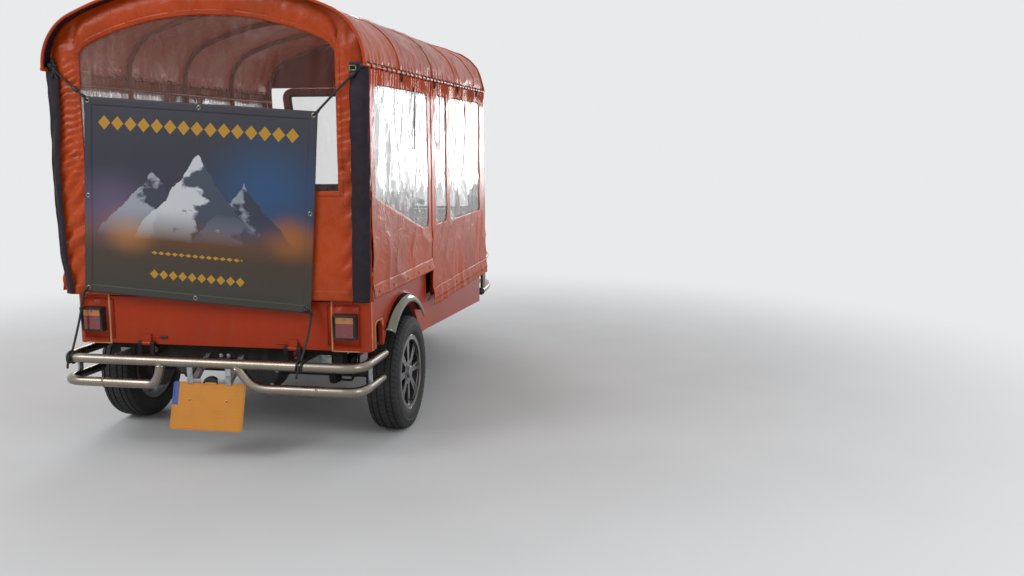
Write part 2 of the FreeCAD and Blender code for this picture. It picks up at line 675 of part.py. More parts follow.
def tailgate():
    """Drop gate with a pressed border, and the knuckles of its two hinges."""
    low = BODY_BOTTOM_Z + GATE_GAP
    panel = box(BODY_REAR_X, BODY_REAR_X + WALL, -GATE_HALF_WIDTH, GATE_HALF_WIDTH, low, GATE_TOP_Z)
    bay = (2 * GATE_HALF_WIDTH - (GATE_BAYS + 1) * GATE_RIB) / GATE_BAYS
    for number in range(GATE_BAYS):
        bay_y = -GATE_HALF_WIDTH + GATE_RIB + number * (bay + GATE_RIB)
        panel = panel.cut(box(BODY_REAR_X + GATE_SKIN, BODY_REAR_X + WALL + 1, bay_y, bay_y + bay,
                              low + GATE_RIB, GATE_TOP_Z - GATE_RIB))
    pieces = [panel]
    for sign in (1, -1):
        middle = sign * HINGE_Y
        start = V(HINGE_X, middle - HINGE_LENGTH / 4, HINGE_Z)
        end = V(HINGE_X, middle + HINGE_LENGTH / 4, HINGE_Z)
        knuckle = rod(start, end, HINGE_BARREL_RADIUS)
        leaf = box(HINGE_X, BODY_REAR_X + 1, start.y, end.y, HINGE_Z, HINGE_Z + 40)
        bore = rod(start - V(0, 1, 0), end + V(0, 1, 0), HINGE_PIN_RADIUS + HINGE_RUNNING_GAP)
        pieces.append(knuckle.fuse(leaf).cut(bore))
    return fused(pieces)


# Chassis
def chassis_frame():
    """Two stepped rails, cross members, spring hangers, hinge pins and the steering neck."""
    rear_low = BODY_BOTTOM_Z - RAIL_HEIGHT
    front_low = FLOOR_Z - RAIL_HEIGHT
    kick_end = RAIL_KICK_X + RAIL_KICK_LENGTH
    side = [
        (RAIL_REAR_X, rear_low), (RAIL_KICK_X, rear_low), (kick_end, front_low),
        (RAIL_FRONT_X, front_low), (RAIL_FRONT_X, FLOOR_Z), (kick_end, FLOOR_Z),
        (RAIL_KICK_X, BODY_BOTTOM_Z), (RAIL_REAR_X, BODY_BOTTOM_Z),
    ]
    low_y = RAIL_Y - RAIL_WIDTH / 2
    high_y = RAIL_Y + RAIL_WIDTH / 2
    rail = prism_y(side, low_y, high_y)
    pieces = [rail, mirrored(rail)]
    pieces.append(box(RAIL_REAR_X, RAIL_REAR_X + CROSS_WIDTH, -REAR_CROSS_HALF_WIDTH,
                      REAR_CROSS_HALF_WIDTH, rear_low, BODY_BOTTOM_Z))
    for station in CROSS_STATIONS:
        low_z = rear_low if station < RAIL_KICK_X else front_low
        pieces.append(box(station, station + CROSS_WIDTH, -low_y - 1, low_y + 1,
                          low_z, low_z + RAIL_HEIGHT))
    pieces.append(box(RAIL_FRONT_X - CROSS_WIDTH, RAIL_FRONT_X, -FRONT_CROSS_HALF_WIDTH,
                      FRONT_CROSS_HALF_WIDTH, front_low, FLOOR_Z))
    # Spring hangers: a plate on the rail's outside and the pin through each spring eye
    for end in (1, -1):
        eye_x = end * LEAF_HALF_LENGTHS[0]
        for sign in (1, -1):
            near, far = sorted((sign * high_y, sign * (high_y + 16)))
            pieces.append(box(eye_x - 26, eye_x + 26, near, far,
                              SPRING_EYE_Z - 24, BODY_BOTTOM_Z - RAIL_HEIGHT + 20))
            pieces.append(rod(V(eye_x, sign * high_y, SPRING_EYE_Z),
                              V(eye_x, sign * (SPRING_Y + SPRING_WIDTH / 2 + 6), SPRING_EYE_Z),
                              SPRING_PIN_RADIUS))
    # Gate hinge pins, held outside the gate's knuckles by a plate on the rear cross member
    for sign in (1, -1):
        middle = sign * HINGE_Y
        reach = HINGE_LENGTH / 2
        pieces.append(rod(V(HINGE_X, middle - reach, HINGE_Z), V(HINGE_X, middle + reach, HINGE_Z),
                          HINGE_PIN_RADIUS))
        for edge in (1, -1):
            near, far = sorted((middle + edge * (HINGE_LENGTH / 4 + 1), middle + edge * reach))
            ear = rod(V(HINGE_X, near, HINGE_Z), V(HINGE_X, far, HINGE_Z), HINGE_BARREL_RADIUS)
            strap = box(HINGE_X - HINGE_BARREL_RADIUS, HINGE_X, near, far,
                        BODY_BOTTOM_Z - 40, HINGE_Z)
            foot = box(HINGE_X - HINGE_BARREL_RADIUS, RAIL_REAR_X + 1, near, far,
                       BODY_BOTTOM_Z - 46, BODY_BOTTOM_Z - 36)
            pieces += [ear, strap, foot]
    # Steering neck and head tube
    rake = math.tan(math.radians(RAKE_DEG))
    tube_low = V(0, 0, HEAD_TUBE_LOW)
    tube_high = V(0, 0, HEAD_TUBE_HIGH)
    head = in_steering_frame(rod(tube_low, tube_high, HEAD_TUBE_RADIUS))
    bore = in_steering_frame(rod(tube_low - V(0, 0, 40), tube_high + V(0, 0, 40),
                                 STEM_RADIUS + HINGE_RUNNING_GAP))
    low_z = TYRE_RADIUS + (HEAD_TUBE_LOW + 12) * math.cos(math.radians(RAKE_DEG))
    high_z = TYRE_RADIUS + (HEAD_TUBE_HIGH - 12) * math.cos(math.radians(RAKE_DEG))
    low_x = STEER_ORIGIN.x - (low_z - TYRE_RADIUS) * rake
    high_x = STEER_ORIGIN.x - (high_z - TYRE_RADIUS) * rake
    neck = prism_y([
        (RAIL_FRONT_X - CROSS_WIDTH, front_low), (RAIL_FRONT_X + 10, front_low),
        (RAIL_FRONT_X + 66, low_z - 60), (low_x, low_z), (high_x, high_z),
        (RAIL_FRONT_X, low_z + 60), (RAIL_FRONT_X - CROSS_WIDTH, FLOOR_Z),
    ], -NECK_THICKNESS / 2, NECK_THICKNESS / 2)
    return fused(pieces + [neck, head]).cut(bore)


# Running gear
def rear_axle():
    """Live axle with its final drive, brake backplates and propeller shaft."""
    z = TYRE_RADIUS
    beam = rod(V(0, -BACKPLATE_Y, z), V(0, BACKPLATE_Y, z), AXLE_TUBE_RADIUS)
    drive = Part.makeSphere(DIFF_RADIUS, V(0, 0, z))
    pieces = [beam, drive]
    hub_face = REAR_WHEEL_Y + RIM_WIDTH / 2 - 60
    for sign in (1, -1):
        pieces.append(rod(V(0, sign * (BACKPLATE_Y - 1), z), V(0, sign * (BACKPLATE_Y + 30), z),
                          BACKPLATE_RADIUS))
        pieces.append(rod(V(0, sign * BACKPLATE_Y, z), V(0, sign * (hub_face - SEAT), z), 30.0))
        pieces.append(rod(V(0, sign * BACKPLATE_Y, z), V(0, sign * (BACKPLATE_Y + 30 + DRUM_WIDTH), z),
                          DRUM_RADIUS))
        pieces.append(box(-40, 40, sign * SPRING_Y - 25, sign * SPRING_Y + 25, z,
                          z + AXLE_TUBE_RADIUS + 8))
    nose = V(DIFF_RADIUS - 15, 0, z)
    tail = V(GEARBOX_REAR_X - SEAT - 0.6, 0, z + 14)
    pieces.append(rod(nose, tail, PROP_RADIUS))
    pieces.append(rod(nose, nose + V(45, 0, 0), PROP_RADIUS + 18))
    return fused(pieces)


def leaf_spring():
    """Left spring: three arched leaves, touching in the middle, the top one with eyes."""
    leaves = []
    seat_z = TYRE_RADIUS + AXLE_TUBE_RADIUS + 8 + SEAT
    count = len(LEAF_HALF_LENGTHS)
    main_z = seat_z + (count - 1) * (LEAF_THICKNESS + SEAT)
    rise = SPRING_EYE_Z - LEAF_THICKNESS / 2 - main_z
    half = LEAF_HALF_LENGTHS[0]
    bow = (half ** 2 + rise ** 2) / (2 * rise)
    low_y = SPRING_Y - SPRING_WIDTH / 2
    for number, reach in enumerate(LEAF_HALF_LENGTHS):
        under = bow + number * (LEAF_THICKNESS + SEAT)
        over = under - LEAF_THICKNESS
        centre_z = main_z + bow
        angle = math.asin(reach / under)
        ends = []
        for radius in (under, over):
            left = V(-radius * math.sin(angle), low_y, centre_z - radius * math.cos(angle))
            right = V(radius * math.sin(angle), low_y, centre_z - radius * math.cos(angle))
            ends.append((left, V(0, low_y, centre_z - radius), right))
        (a, b, c), (d, e, f) = ends
        wire = Part.Wire([Part.Arc(a, b, c).toShape(), Part.LineSegment(c, f).toShape(),
                          Part.Arc(f, e, d).toShape(), Part.LineSegment(d, a).toShape()])
        leaves.append(Part.Face(wire).extrude(V(0, SPRING_WIDTH, 0)))
    main = leaves[0]
    for end in (1, -1):
        low = V(end * half, low_y, SPRING_EYE_Z)
        high = low + V(0, SPRING_WIDTH, 0)
        main = main.fuse(rod(low, high, SPRING_EYE_RADIUS))
        main = main.cut(rod(low - V(0, 1, 0), high + V(0, 1, 0), SPRING_PIN_RADIUS + SEAT))
    return Part.makeCompound([main] + leaves[1:])


def engine():
    """One plain block with its gearbox at the rear."""
    block = box(ENGINE_REAR_X, ENGINE_FRONT_X, -ENGINE_HALF_WIDTH, ENGINE_HALF_WIDTH,
                ENGINE_LOW_Z, ENGINE_TOP_Z)
    z = TYRE_RADIUS + 14
    gearbox = Part.makeCone(GEARBOX_RADIUS, GEARBOX_RADIUS + 25, ENGINE_REAR_X - GEARBOX_REAR_X + 1,
                            V(GEARBOX_REAR_X, 0, z), V(1, 0, 0))
    return fused([block, gearbox])


def exhaust():
    """Pipe from the engine's left side to a silencer behind the axle, with a tail pipe."""
    outlet_x = ENGINE_REAR_X + PIPE_OUTLET_AHEAD
    outlet_z = ENGINE_LOW_Z + PIPE_OUTLET_RISE
    level_x = outlet_x - PIPE_LEVEL_LENGTH
    front = V(outlet_x, ENGINE_HALF_WIDTH + SEAT, outlet_z)
    route = [front, V(outlet_x, SILENCER_Y, outlet_z), V(level_x, SILENCER_Y, outlet_z),
             V(level_x - PIPE_RISE_LENGTH, SILENCER_Y, SILENCER_Z),
             V(SILENCER_FRONT_X, SILENCER_Y, SILENCER_Z)]
    pipe = rounded_path(route, [0, PIPE_ELBOW, PIPE_BEND, PIPE_BEND, 0])
    ring = Part.Wire([Part.Circle(front, V(0, 1, 0), PIPE_RADIUS).toShape()])
    run = pipe.makePipeShell([ring], True, False)
    silencer = rod(V(SILENCER_FRONT_X - SILENCER_LENGTH, SILENCER_Y, SILENCER_Z),
                   V(SILENCER_FRONT_X + 1, SILENCER_Y, SILENCER_Z), SILENCER_RADIUS)
    return fused([run, silencer])


# Canopy
def canopy_frame():
    """Tubular hoops joined by two eave rails and a ridge rail."""
    inset = CANOPY_THICKNESS + SEAT + HOOP_RADIUS
    pieces = []
    for number in range(HOOP_COUNT):
        station = HOOP_FIRST_X + number * HOOP_PITCH
        foot_z = (BELT_Z if station < QUARTER_FRONT_X else SILL_TOP_Z) + SEAT
        edges, left, right = canopy_edges(station, inset, CORNER_CENTRE_Z - 1)
        arch = Part.Wire(edges)
        ring = Part.Wire([Part.Circle(left, V(0, 0, 1), HOOP_RADIUS).toShape()])
        pieces.append(arch.makePipeShell([ring], True, False))
        for sign, top in ((1, left), (-1, right)):
            foot = V(station, sign * HOOP_FOOT_Y, foot_z)
            post = rod(foot - (top - foot).normalize() * 3, top, HOOP_RADIUS)
            under = box(station - 20, station + 20, foot.y - 20, foot.y + 20, foot_z - 10, foot_z)
            pieces.append(post.cut(under))
    last = HOOP_FIRST_X + (HOOP_COUNT - 1) * HOOP_PITCH
    share = (EAVE_RAIL_Z - BELT_Z) / (CORNER_CENTRE_Z - BELT_Z)
    rail_y = HOOP_FOOT_Y + share * (CANOPY_HALF_WIDTH - inset - HOOP_FOOT_Y) - 5
    ridge_z = CANOPY_TOP_Z - inset - 3
    for y, z in ((rail_y, EAVE_RAIL_Z), (-rail_y, EAVE_RAIL_Z), (0, ridge_z)):
        pieces.append(rod(V(HOOP_FIRST_X, y, z), V(last, y, z), EAVE_RAIL_RADIUS))
    return fused(pieces)


def roof_canopy():
    outside = canopy_solid(CANOPY_REAR_X, CANOPY_FRONT_X, 0, CANOPY_EAVE_Z)
    inside = canopy_solid(CANOPY_REAR_X - 1, CANOPY_FRONT_X + 1, CANOPY_THICKNESS, CANOPY_EAVE_Z - 1)
    return outside.cut(inside)


def rear_window_solid(inset):
    """Clear pane with an arched head, between the curtain's two faces."""
    low_x = CURTAIN_REAR_X
    side = REAR_WINDOW_HALF_WIDTH - inset
    head = CANOPY_TOP_Z - REAR_WINDOW_HIGH_Z + inset
    pane = canopy_solid(low_x, low_x + CURTAIN_THICKNESS, head, REAR_WINDOW_LOW_Z + inset)
    return pane.common(box(low_x - 1, low_x + CURTAIN_THICKNESS + 1, -side, side,
                           REAR_WINDOW_LOW_Z + inset, CANOPY_TOP_Z))


def rear_curtain():
    low_x = CURTAIN_REAR_X
    high_x = low_x + CURTAIN_THICKNESS
    sheet = canopy_solid(low_x, high_x, CANOPY_THICKNESS + SEAT, REAR_CURTAIN_HEM_Z)
    return sheet.cut(rear_window_solid(0))


SIDE_SHEET_Y = CANOPY_HALF_WIDTH - CANOPY_THICKNESS + 1
SIDE_SHEET_TOP_Z = CANOPY_EAVE_Z - SEAT


def side_window(rear, front, inset):
    outline = [(rear + inset, SIDE_WINDOW_LOW_Z + inset), (front - inset, SIDE_WINDOW_LOW_Z + inset),
               (front - inset, SIDE_WINDOW_HIGH_Z - inset), (rear + inset, SIDE_WINDOW_HIGH_Z - inset)]
    return prism_y(outline, SIDE_SHEET_Y, SIDE_SHEET_Y + CURTAIN_THICKNESS,
                   [SIDE_WINDOW_CORNER - inset] * 4)


def side_curtain(place):
    """Left curtain of this place, rear or front, with its windows cut."""
    if place == "rear":
        start = CURTAIN_REAR_X + CURTAIN_THICKNESS + SEAT
        outline = [(start, SIDE_REAR_HEM_Z), (SIDE_REAR_FRONT_X, SIDE_REAR_HEM_Z),
                   (SIDE_REAR_FRONT_X, SIDE_SHEET_TOP_Z), (start, SIDE_SHEET_TOP_Z)]
    else:
        outline = [(SIDE_FRONT_REAR_X, SIDE_FRONT_HEM_Z), (SIDE_FRONT_HEM_X, SIDE_FRONT_HEM_Z),
                   (CANOPY_FRONT_X, SIDE_SHEET_TOP_Z), (SIDE_FRONT_REAR_X, SIDE_SHEET_TOP_Z)]
    sheet = prism_y(outline, SIDE_SHEET_Y, SIDE_SHEET_Y + CURTAIN_THICKNESS)
    for rear, front, where in SIDE_WINDOWS:
        if where == place:
            sheet = sheet.cut(side_window(rear, front, 0))
    return sheet


def curtain_windows():
    panes = [rear_window_solid(SEAT)]
    for rear, front, _ in SIDE_WINDOWS:
        pane = side_window(rear, front, SEAT)
        panes += [pane, mirrored(pane)]
    return Part.makeCompound(panes)


# Banner
def banner_point(across, up):
    """Point on the banner's rear face from its centre, along its own turned axes."""
    turn = math.radians(BANNER_TURN_DEG)
    y = BANNER_Y + across * math.cos(turn) - up * math.sin(turn)
    z = BANNER_Z + across * math.sin(turn) + up * math.cos(turn)
    return V(BANNER_X, y, z)


def banner():
    half_w = BANNER_WIDTH / 2
    half_h = BANNER_HEIGHT / 2
    corners = [banner_point(a * half_w, b * half_h) for a, b in ((-1, -1), (1, -1), (1, 1), (-1, 1))]
    return plate_face(corners, [0] * 4).extrude(V(BANNER_THICKNESS, 0, 0))


def banner_ties():
    """Four elastic ties from the banner's eyelets, two to the canopy and two to the bumper."""
    off = V(-TIE_RADIUS - SEAT, 0, 0)
    half_w = BANNER_WIDTH / 2 - EYELET_INSET
    half_h = BANNER_HEIGHT / 2 - EYELET_INSET
    skirt_y = CANOPY_HALF_WIDTH - CANOPY_THICKNESS - TIE_BALL_RADIUS - 2 * SEAT
    tube_z = BUMPER_TOP_Z + BUMPER_RADIUS + TIE_RADIUS + SEAT
    round_x = BUMPER_X + BUMPER_BEND * (1 - math.sqrt(0.5))
    round_y = BUMPER_HALF_WIDTH - BUMPER_BEND * (1 - math.sqrt(0.5))
    ends = [
        (banner_point(half_w, half_h) + off, V(BANNER_X - 6, skirt_y, CANOPY_EAVE_Z + 24), True),
        (banner_point(-half_w, half_h) + off, V(BANNER_X - 6, -skirt_y, CANOPY_EAVE_Z + 4), True),
        (banner_point(half_w, -half_h) + off, V(round_x, round_y, tube_z), False),
        (banner_point(-half_w, -half_h) + off, V(BUMPER_X, -432.0, tube_z), False),
    ]
    ties = []
    for start, end, ball in ends:
        tie = rod(start, end, TIE_RADIUS)
        if ball:
            tie = tie.fuse(Part.makeSphere(TIE_BALL_RADIUS, end))
        ties.append(tie)
    return Part.makeCompound(ties)


# Rear bumper, plate and lamps
def rear_bumper():
    """Two-rail tubular bumper. The lower rail is in two parts that rise to the upper one."""
    x = BUMPER_X
    half = BUMPER_HALF_WIDTH
    top = tube([V(BUMPER_TOP_TIP_X, half, BUMPER_TOP_Z), V(x, half, BUMPER_TOP_Z),
                V(x, -half, BUMPER_TOP_Z), V(BUMPER_TOP_TIP_X, -half, BUMPER_TOP_Z)],
               BUMPER_BEND, BUMPER_RADIUS)
    rise = BUMPER_TOP_Z - BUMPER_LOW_Z
    slope = V(0, BUMPER_LOW_INNER_Y - BUMPER_JOIN_Y, -rise)
    low_end = V(x, BUMPER_JOIN_Y, BUMPER_TOP_Z) + slope * 0.999
    route = [V(x, BUMPER_JOIN_Y, BUMPER_TOP_Z), V(x, low_end.y, BUMPER_LOW_Z),
             V(x, half, BUMPER_LOW_Z), V(BUMPER_LOW_TIP_X, half, BUMPER_LOW_Z)]
    path = rounded_path(route, [0, 70, BUMPER_BEND, 0])
    ring = Part.Wire([Part.Circle(route[0], route[1] - route[0], BUMPER_RADIUS).toShape()])
    low = path.makePipeShell([ring], True, False)
    strut = box(BUMPER_STRUT_X, BUMPER_STRUT_X + BUMPER_STRUT_WIDTH, half - 5, half + 5,
                BUMPER_LOW_Z, BUMPER_TOP_Z)
    plugs = [Part.makeSphere(BUMPER_RADIUS, V(BUMPER_TOP_TIP_X, half, BUMPER_TOP_Z)),
             Part.makeSphere(BUMPER_RADIUS, V(BUMPER_LOW_TIP_X, half, BUMPER_LOW_Z))]
    side = [low, strut] + plugs
    return fused([top] + side + [mirrored(piece) for piece in side])


def rear_brackets():
    """Flat arms that carry the bumper, the two arms of the number plate and the towing plate."""
    front = RAIL_REAR_X - SEAT
    back = BUMPER_X + BUMPER_RADIUS + SEAT
    arm = box(back, front, BRACKET_Y, BRACKET_Y + BRACKET_THICKNESS, BUMPER_TOP_Z - 20, BUMPER_TOP_Z + 20)
    foot = box(front - BRACKET_THICKNESS, front, BRACKET_Y, BRACKET_Y + 60,
               BUMPER_TOP_Z - 20, BUMPER_TOP_Z + 20)
    bracket = fused([arm, foot])
    tilt = math.radians(PLATE_TILT_DEG)
    lean = math.tan(tilt)
    gap = (PLATE_THICKNESS + SEAT) / math.cos(tilt)
    low_z = PLATE_TOP_Z - 60
    face_top = PLATE_TOP_X + gap
    face_low = PLATE_TOP_X + gap - (PLATE_TOP_Z - low_z) * lean
    arm_low = BODY_BOTTOM_Z - RAIL_HEIGHT
    strap = prism_y([
        (front, arm_low + 30), (front, arm_low + 6), (face_top + 14, PLATE_TOP_Z - 14),
        (face_low + 6, low_z), (face_low, low_z), (face_top, PLATE_TOP_Z), (face_top + 14, PLATE_TOP_Z + 12),
    ], PLATE_ARM_Y, PLATE_ARM_Y + PLATE_ARM_WIDTH)
    tow_x = RAIL_REAR_X - TOW_PLATE_LENGTH / 2
    tow = box(RAIL_REAR_X - TOW_PLATE_LENGTH, front, -TOW_PLATE_WIDTH / 2, TOW_PLATE_WIDTH / 2,
              arm_low, arm_low + TOW_PLATE_THICKNESS)
    tow = tow.cut(rod(V(tow_x, 0, arm_low - 1), V(tow_x, 0, arm_low + TOW_PLATE_THICKNESS + 1), TOW_HOLE_RADIUS))
    return Part.makeCompound([bracket, mirrored(bracket), strap, mirrored(strap), tow])


def number_plate():
    half = PLATE_WIDTH / 2
    plate = prism_x([(-half, -PLATE_HEIGHT), (half, -PLATE_HEIGHT), (half, 0), (-half, 0)],
                    0, PLATE_THICKNESS, [12] * 4)
    plate.Placement = FreeCAD.Placement(V(PLATE_TOP_X, 0, PLATE_TOP_Z),
                                        FreeCAD.Rotation(V(0, 1, 0), PLATE_TILT_DEG))
    return plate


def lamp_housing():
    """Left hooded lamp box with a pocket for its lenses."""
    low_y = LAMP_Y - LAMP_WIDTH / 2
    high_y = LAMP_Y + LAMP_WIDTH / 2
    high_z = LAMP_LOW_Z + LAMP_HEIGHT
    front = BODY_REAR_X - SEAT
    back = front - LAMP_DEPTH
    body = prism_y([
        (front, LAMP_LOW_Z), (front, high_z), (back, high_z), (back, high_z - LAMP_RIM),
        (back + LAMP_HOOD, LAMP_LOW_Z),
    ], low_y, high_y)
    pocket = box(back - 1, back + LAMP_HOOD + 20, low_y + LAMP_RIM, high_y - LAMP_RIM,
                 LAMP_LOW_Z + LAMP_RIM, high_z - LAMP_RIM)
    return body.cut(pocket)


def lamp_lens(low, high):
    back = BODY_REAR_X - SEAT - LAMP_DEPTH + LAMP_HOOD
    inset = LAMP_RIM + SEAT
    return box(back, back + 20 - SEAT, LAMP_Y - LAMP_WIDTH / 2 + inset, LAMP_Y + LAMP_WIDTH / 2 - inset,
               low, high)


# Nose and windscreen
def on_screen(outline, radii, thickness, setback):
    """Outline of (y, height along the screen) corners, laid on the raked screen plane."""
    face = plate_face([V(0, y, s) for y, s in outline], radii)
    solid = face.extrude(V(thickness, 0, 0))
    solid.translate(V(-setback - thickness, 0, 0))
    lean = FreeCAD.Rotation(V(0, 1, 0), -SCREEN_LEAN_DEG)
    foot = V(SCREEN_LOW_X, 0, SCREEN_LOW_Z)
    solid.Placement = FreeCAD.Placement(foot, lean).multiply(solid.Placement)
    return solid


def screen_outline(inset):
    half = SCREEN_HALF_WIDTH - inset
    high = SCREEN_LENGTH - inset
    return [(-half, inset), (half, inset), (half, high), (-half, high)]


def windscreen_frame():
    """Raked frame and the arched header panel between it and the canopy."""
    outer = on_screen(screen_outline(0), [SCREEN_CORNER] * 4, SCREEN_DEPTH, 0)
    inner = on_screen(screen_outline(SCREEN_BAR), [SCREEN_CORNER - SCREEN_BAR] * 4, SCREEN_DEPTH + 4, -2)
    frame = outer.cut(inner)
    low_x = CANOPY_FRONT_X - HEADER_THICKNESS
    low_z = SCREEN_TOP_Z - HEADER_SETBACK * SCREEN_SINE / SCREEN_COSINE + SEAT
    base_z = min(CANOPY_EAVE_Z, low_z) - 1
    header = canopy_solid(low_x, CANOPY_FRONT_X, CANOPY_THICKNESS + SEAT, base_z)
    header = header.cut(box(low_x - 1, CANOPY_FRONT_X + 1, -CANOPY_HALF_WIDTH, CANOPY_HALF_WIDTH,
                            base_z - 1, low_z))
    return Part.makeCompound([frame, header])


def windscreen_glass():
    inset = SCREEN_BAR + SEAT
    corner = SCREEN_CORNER - SCREEN_BAR - SEAT
    return on_screen(screen_outline(inset), [corner] * 4, GLASS_THICKNESS, SCREEN_DEPTH / 2)


def cowl_block(inset, low_z):
    """Nose form at this inset from its outside."""
    nose = COWL_FRONT_X - inset
    wide = COWL_HALF_WIDTH - inset
    narrow = COWL_NOSE_HALF_WIDTH - inset * 0.4
    plan = [(COWL_REAR_X, -wide), (SCREEN_LOW_X + 20, -wide), (nose, -narrow),
            (nose, narrow), (SCREEN_LOW_X + 20, wide), (COWL_REAR_X, wide)]
    block = prism_z(plan, low_z, COWL_TOP_Z - inset, [0, 150, 120, 120, 150, 0])
    slope = prism_y([(SCREEN_LOW_X, COWL_TOP_Z - inset), (COWL_FRONT_X + 1, COWL_NOSE_TOP_Z - inset),
                     (COWL_FRONT_X + 1, COWL_TOP_Z + 1), (SCREEN_LOW_X, COWL_TOP_Z + 1)], -wide - 1, wide + 1)
    return block.cut(slope)


def front_cowl():
    shell = cowl_block(0, COWL_LOW_Z).cut(cowl_block(COWL_WALL, COWL_LOW_Z - 1))
    for sign in (1, -1):
        shell = shell.cut(rod(V(COWL_FRONT_X - 60, sign * HEADLAMP_Y, HEADLAMP_Z),
                              V(COWL_FRONT_X + 5, sign * HEADLAMP_Y, HEADLAMP_Z), HEADLAMP_RADIUS - 12))
    for number in range(LOUVRE_COUNT):
        low = HEADLAMP_Z + (number - (LOUVRE_COUNT - 1) / 2) * LOUVRE_PITCH - LOUVRE_HEIGHT / 2
        shell = shell.cut(box(COWL_FRONT_X - COWL_WALL - 1, COWL_FRONT_X + 1, -LOUVRE_HALF_WIDTH,
                              LOUVRE_HALF_WIDTH, low, low + LOUVRE_HEIGHT))
    stem = in_steering_frame(rod(V(0, 0, HEAD_TUBE_HIGH), V(0, 0, BAR_HEIGHT), STEM_RADIUS + 8))
    return shell.cut(stem)


def headlamps():
    """Round lamps with a bezel and a domed lens, seated in the nose."""
    lamps = []
    for sign in (1, -1):
        start = V(COWL_FRONT_X + SEAT, sign * HEADLAMP_Y, HEADLAMP_Z)
        bezel = rod(start, start + V(26, 0, 0), HEADLAMP_RADIUS)
        bucket = rod(start - V(HEADLAMP_DEPTH, 0, 0), start + V(1, 0, 0), HEADLAMP_RADIUS - 13)
        dome = Part.makeSphere(170, start + V(-120, 0, 0)).common(
            rod(start + V(20, 0, 0), start + V(80, 0, 0), HEADLAMP_RADIUS - 10))
        lamps.append(fused([bezel, bucket, dome]))
    return Part.makeCompound(lamps)


def front_bumper():
    """Low wrap-round rail whose ends face rearward, an upper rail and two mounting arms."""
    x = FRONT_BUMPER_X
    half = FRONT_BUMPER_HALF_WIDTH
    end = FRONT_BUMPER_END_X
    low_z = FRONT_BUMPER_LOW_Z
    top_z = FRONT_BUMPER_TOP_Z
    low = tube([V(end, half, low_z), V(x, half, low_z), V(x, -half, low_z), V(end, -half, low_z)],
               FRONT_BUMPER_BEND, BUMPER_RADIUS)
    back = end + 70
    route = [V(back, half, low_z), V(back, half, top_z), V(x - 40, half, top_z),
             V(x - 40, -half, top_z), V(back, -half, top_z), V(back, -half, low_z)]
    path = rounded_path(route, [0, 70, FRONT_BUMPER_BEND, FRONT_BUMPER_BEND, 70, 0])
    ring = Part.Wire([Part.Circle(route[0], V(0, 0, 1), BUMPER_RADIUS - 4).toShape()])
    top = path.makePipeShell([ring], True, False)
    pieces = [low, top]
    for sign in (1, -1):
        inner, outer = sorted((sign * (COWL_HALF_WIDTH - 60), sign * (half + 4)))
        pieces.append(box(end + 10, end + 50, inner, outer, low_z - 6, low_z + 6))
        side_in, side_out = sorted((sign * (COWL_HALF_WIDTH - 60), sign * (COWL_HALF_WIDTH - 30)))
        pieces.append(box(RAIL_FRONT_X + SEAT, end + 50, side_in, side_out, low_z - 6, FLOOR_Z - SEAT))
    return fused(pieces)


def mirrors():
    """Mirror heads on short arms behind the windscreen posts."""
    post_x = SCREEN_LOW_X - (MIRROR_Z + MIRROR_ARM_RADIUS - SCREEN_LOW_Z) * SCREEN_SINE / SCREEN_COSINE
    start = V(post_x - SCREEN_DEPTH / SCREEN_COSINE - SEAT, SCREEN_HALF_WIDTH - SCREEN_BAR / 2, MIRROR_Z)
    arm = rod(start, V(MIRROR_X + MIRROR_DEPTH / 2, start.y, MIRROR_Z), MIRROR_ARM_RADIUS)
    head_in = MIRROR_Y - MIRROR_WIDTH / 2
    head_low = MIRROR_Z - MIRROR_HEIGHT / 2
    outline = [(head_in, head_low), (head_in + MIRROR_WIDTH, head_low),
               (head_in + MIRROR_WIDTH, head_low + MIRROR_HEIGHT), (head_in, head_low + MIRROR_HEIGHT)]
    head = prism_x(outline, MIRROR_X, MIRROR_X + MIRROR_DEPTH, [MIRROR_CORNER] * 4)
    return both_sides(fused([arm, head]))


def dashboard():
    """Shelf behind the windscreen with a raised instrument hood."""
    front = SCREEN_LOW_X - DASH_SETBACK
    shelf = box(COWL_REAR_X, front, -DASH_HALF_WIDTH, DASH_HALF_WIDTH, COWL_TOP_Z + SEAT, DASH_Z)
    face = COWL_REAR_X + HOOD_SLOPE_START
    hood = prism_y([(face, DASH_Z - 1), (front, DASH_Z - 1), (front, DASH_Z + HOOD_HEIGHT / 2),
                    (face + HOOD_HEIGHT / 2, DASH_Z + HOOD_HEIGHT)], HOOD_INNER_Y, HOOD_OUTER_Y,
                   [0, 0, 0, HOOD_HEIGHT / 6])
    stem = in_steering_frame(rod(V(0, 0, HEAD_TUBE_HIGH), V(0, 0, BAR_HEIGHT + 60), STEM_RADIUS + 8))
    return fused([shelf, hood]).cut(stem)


# Seats
def cushion(rear, front, half_width, low_z, high_z):
    """Padded block with its long edges rounded."""
    outline = [(rear, low_z), (front, low_z), (front, high_z), (rear, high_z)]
    return prism_y(outline, -half_width, half_width, [PAD_ROUND] * 4)


def bench(rear, length, base_z, floor_z, back_at_rear, base_half_width):
    """Base box, cushion and backrest of one bench, as three touching pieces."""
    front = rear + length
    base = box(rear + BASE_SETBACK, front - BASE_SETBACK, -base_half_width, base_half_width,
               floor_z + SEAT, base_z - SEAT)
    pad = cushion(rear, front, BENCH_HALF_WIDTH, base_z, base_z + SEAT_PAD)
    if back_at_rear:
        low_x = rear - BACK_THICKNESS - SEAT
    else:
        low_x = front + SEAT
    back = cushion(low_x, low_x + BACK_THICKNESS, BENCH_HALF_WIDTH, base_z, base_z + SEAT_PAD + BACK_HEIGHT)
    return Part.makeCompound([base, pad, back])


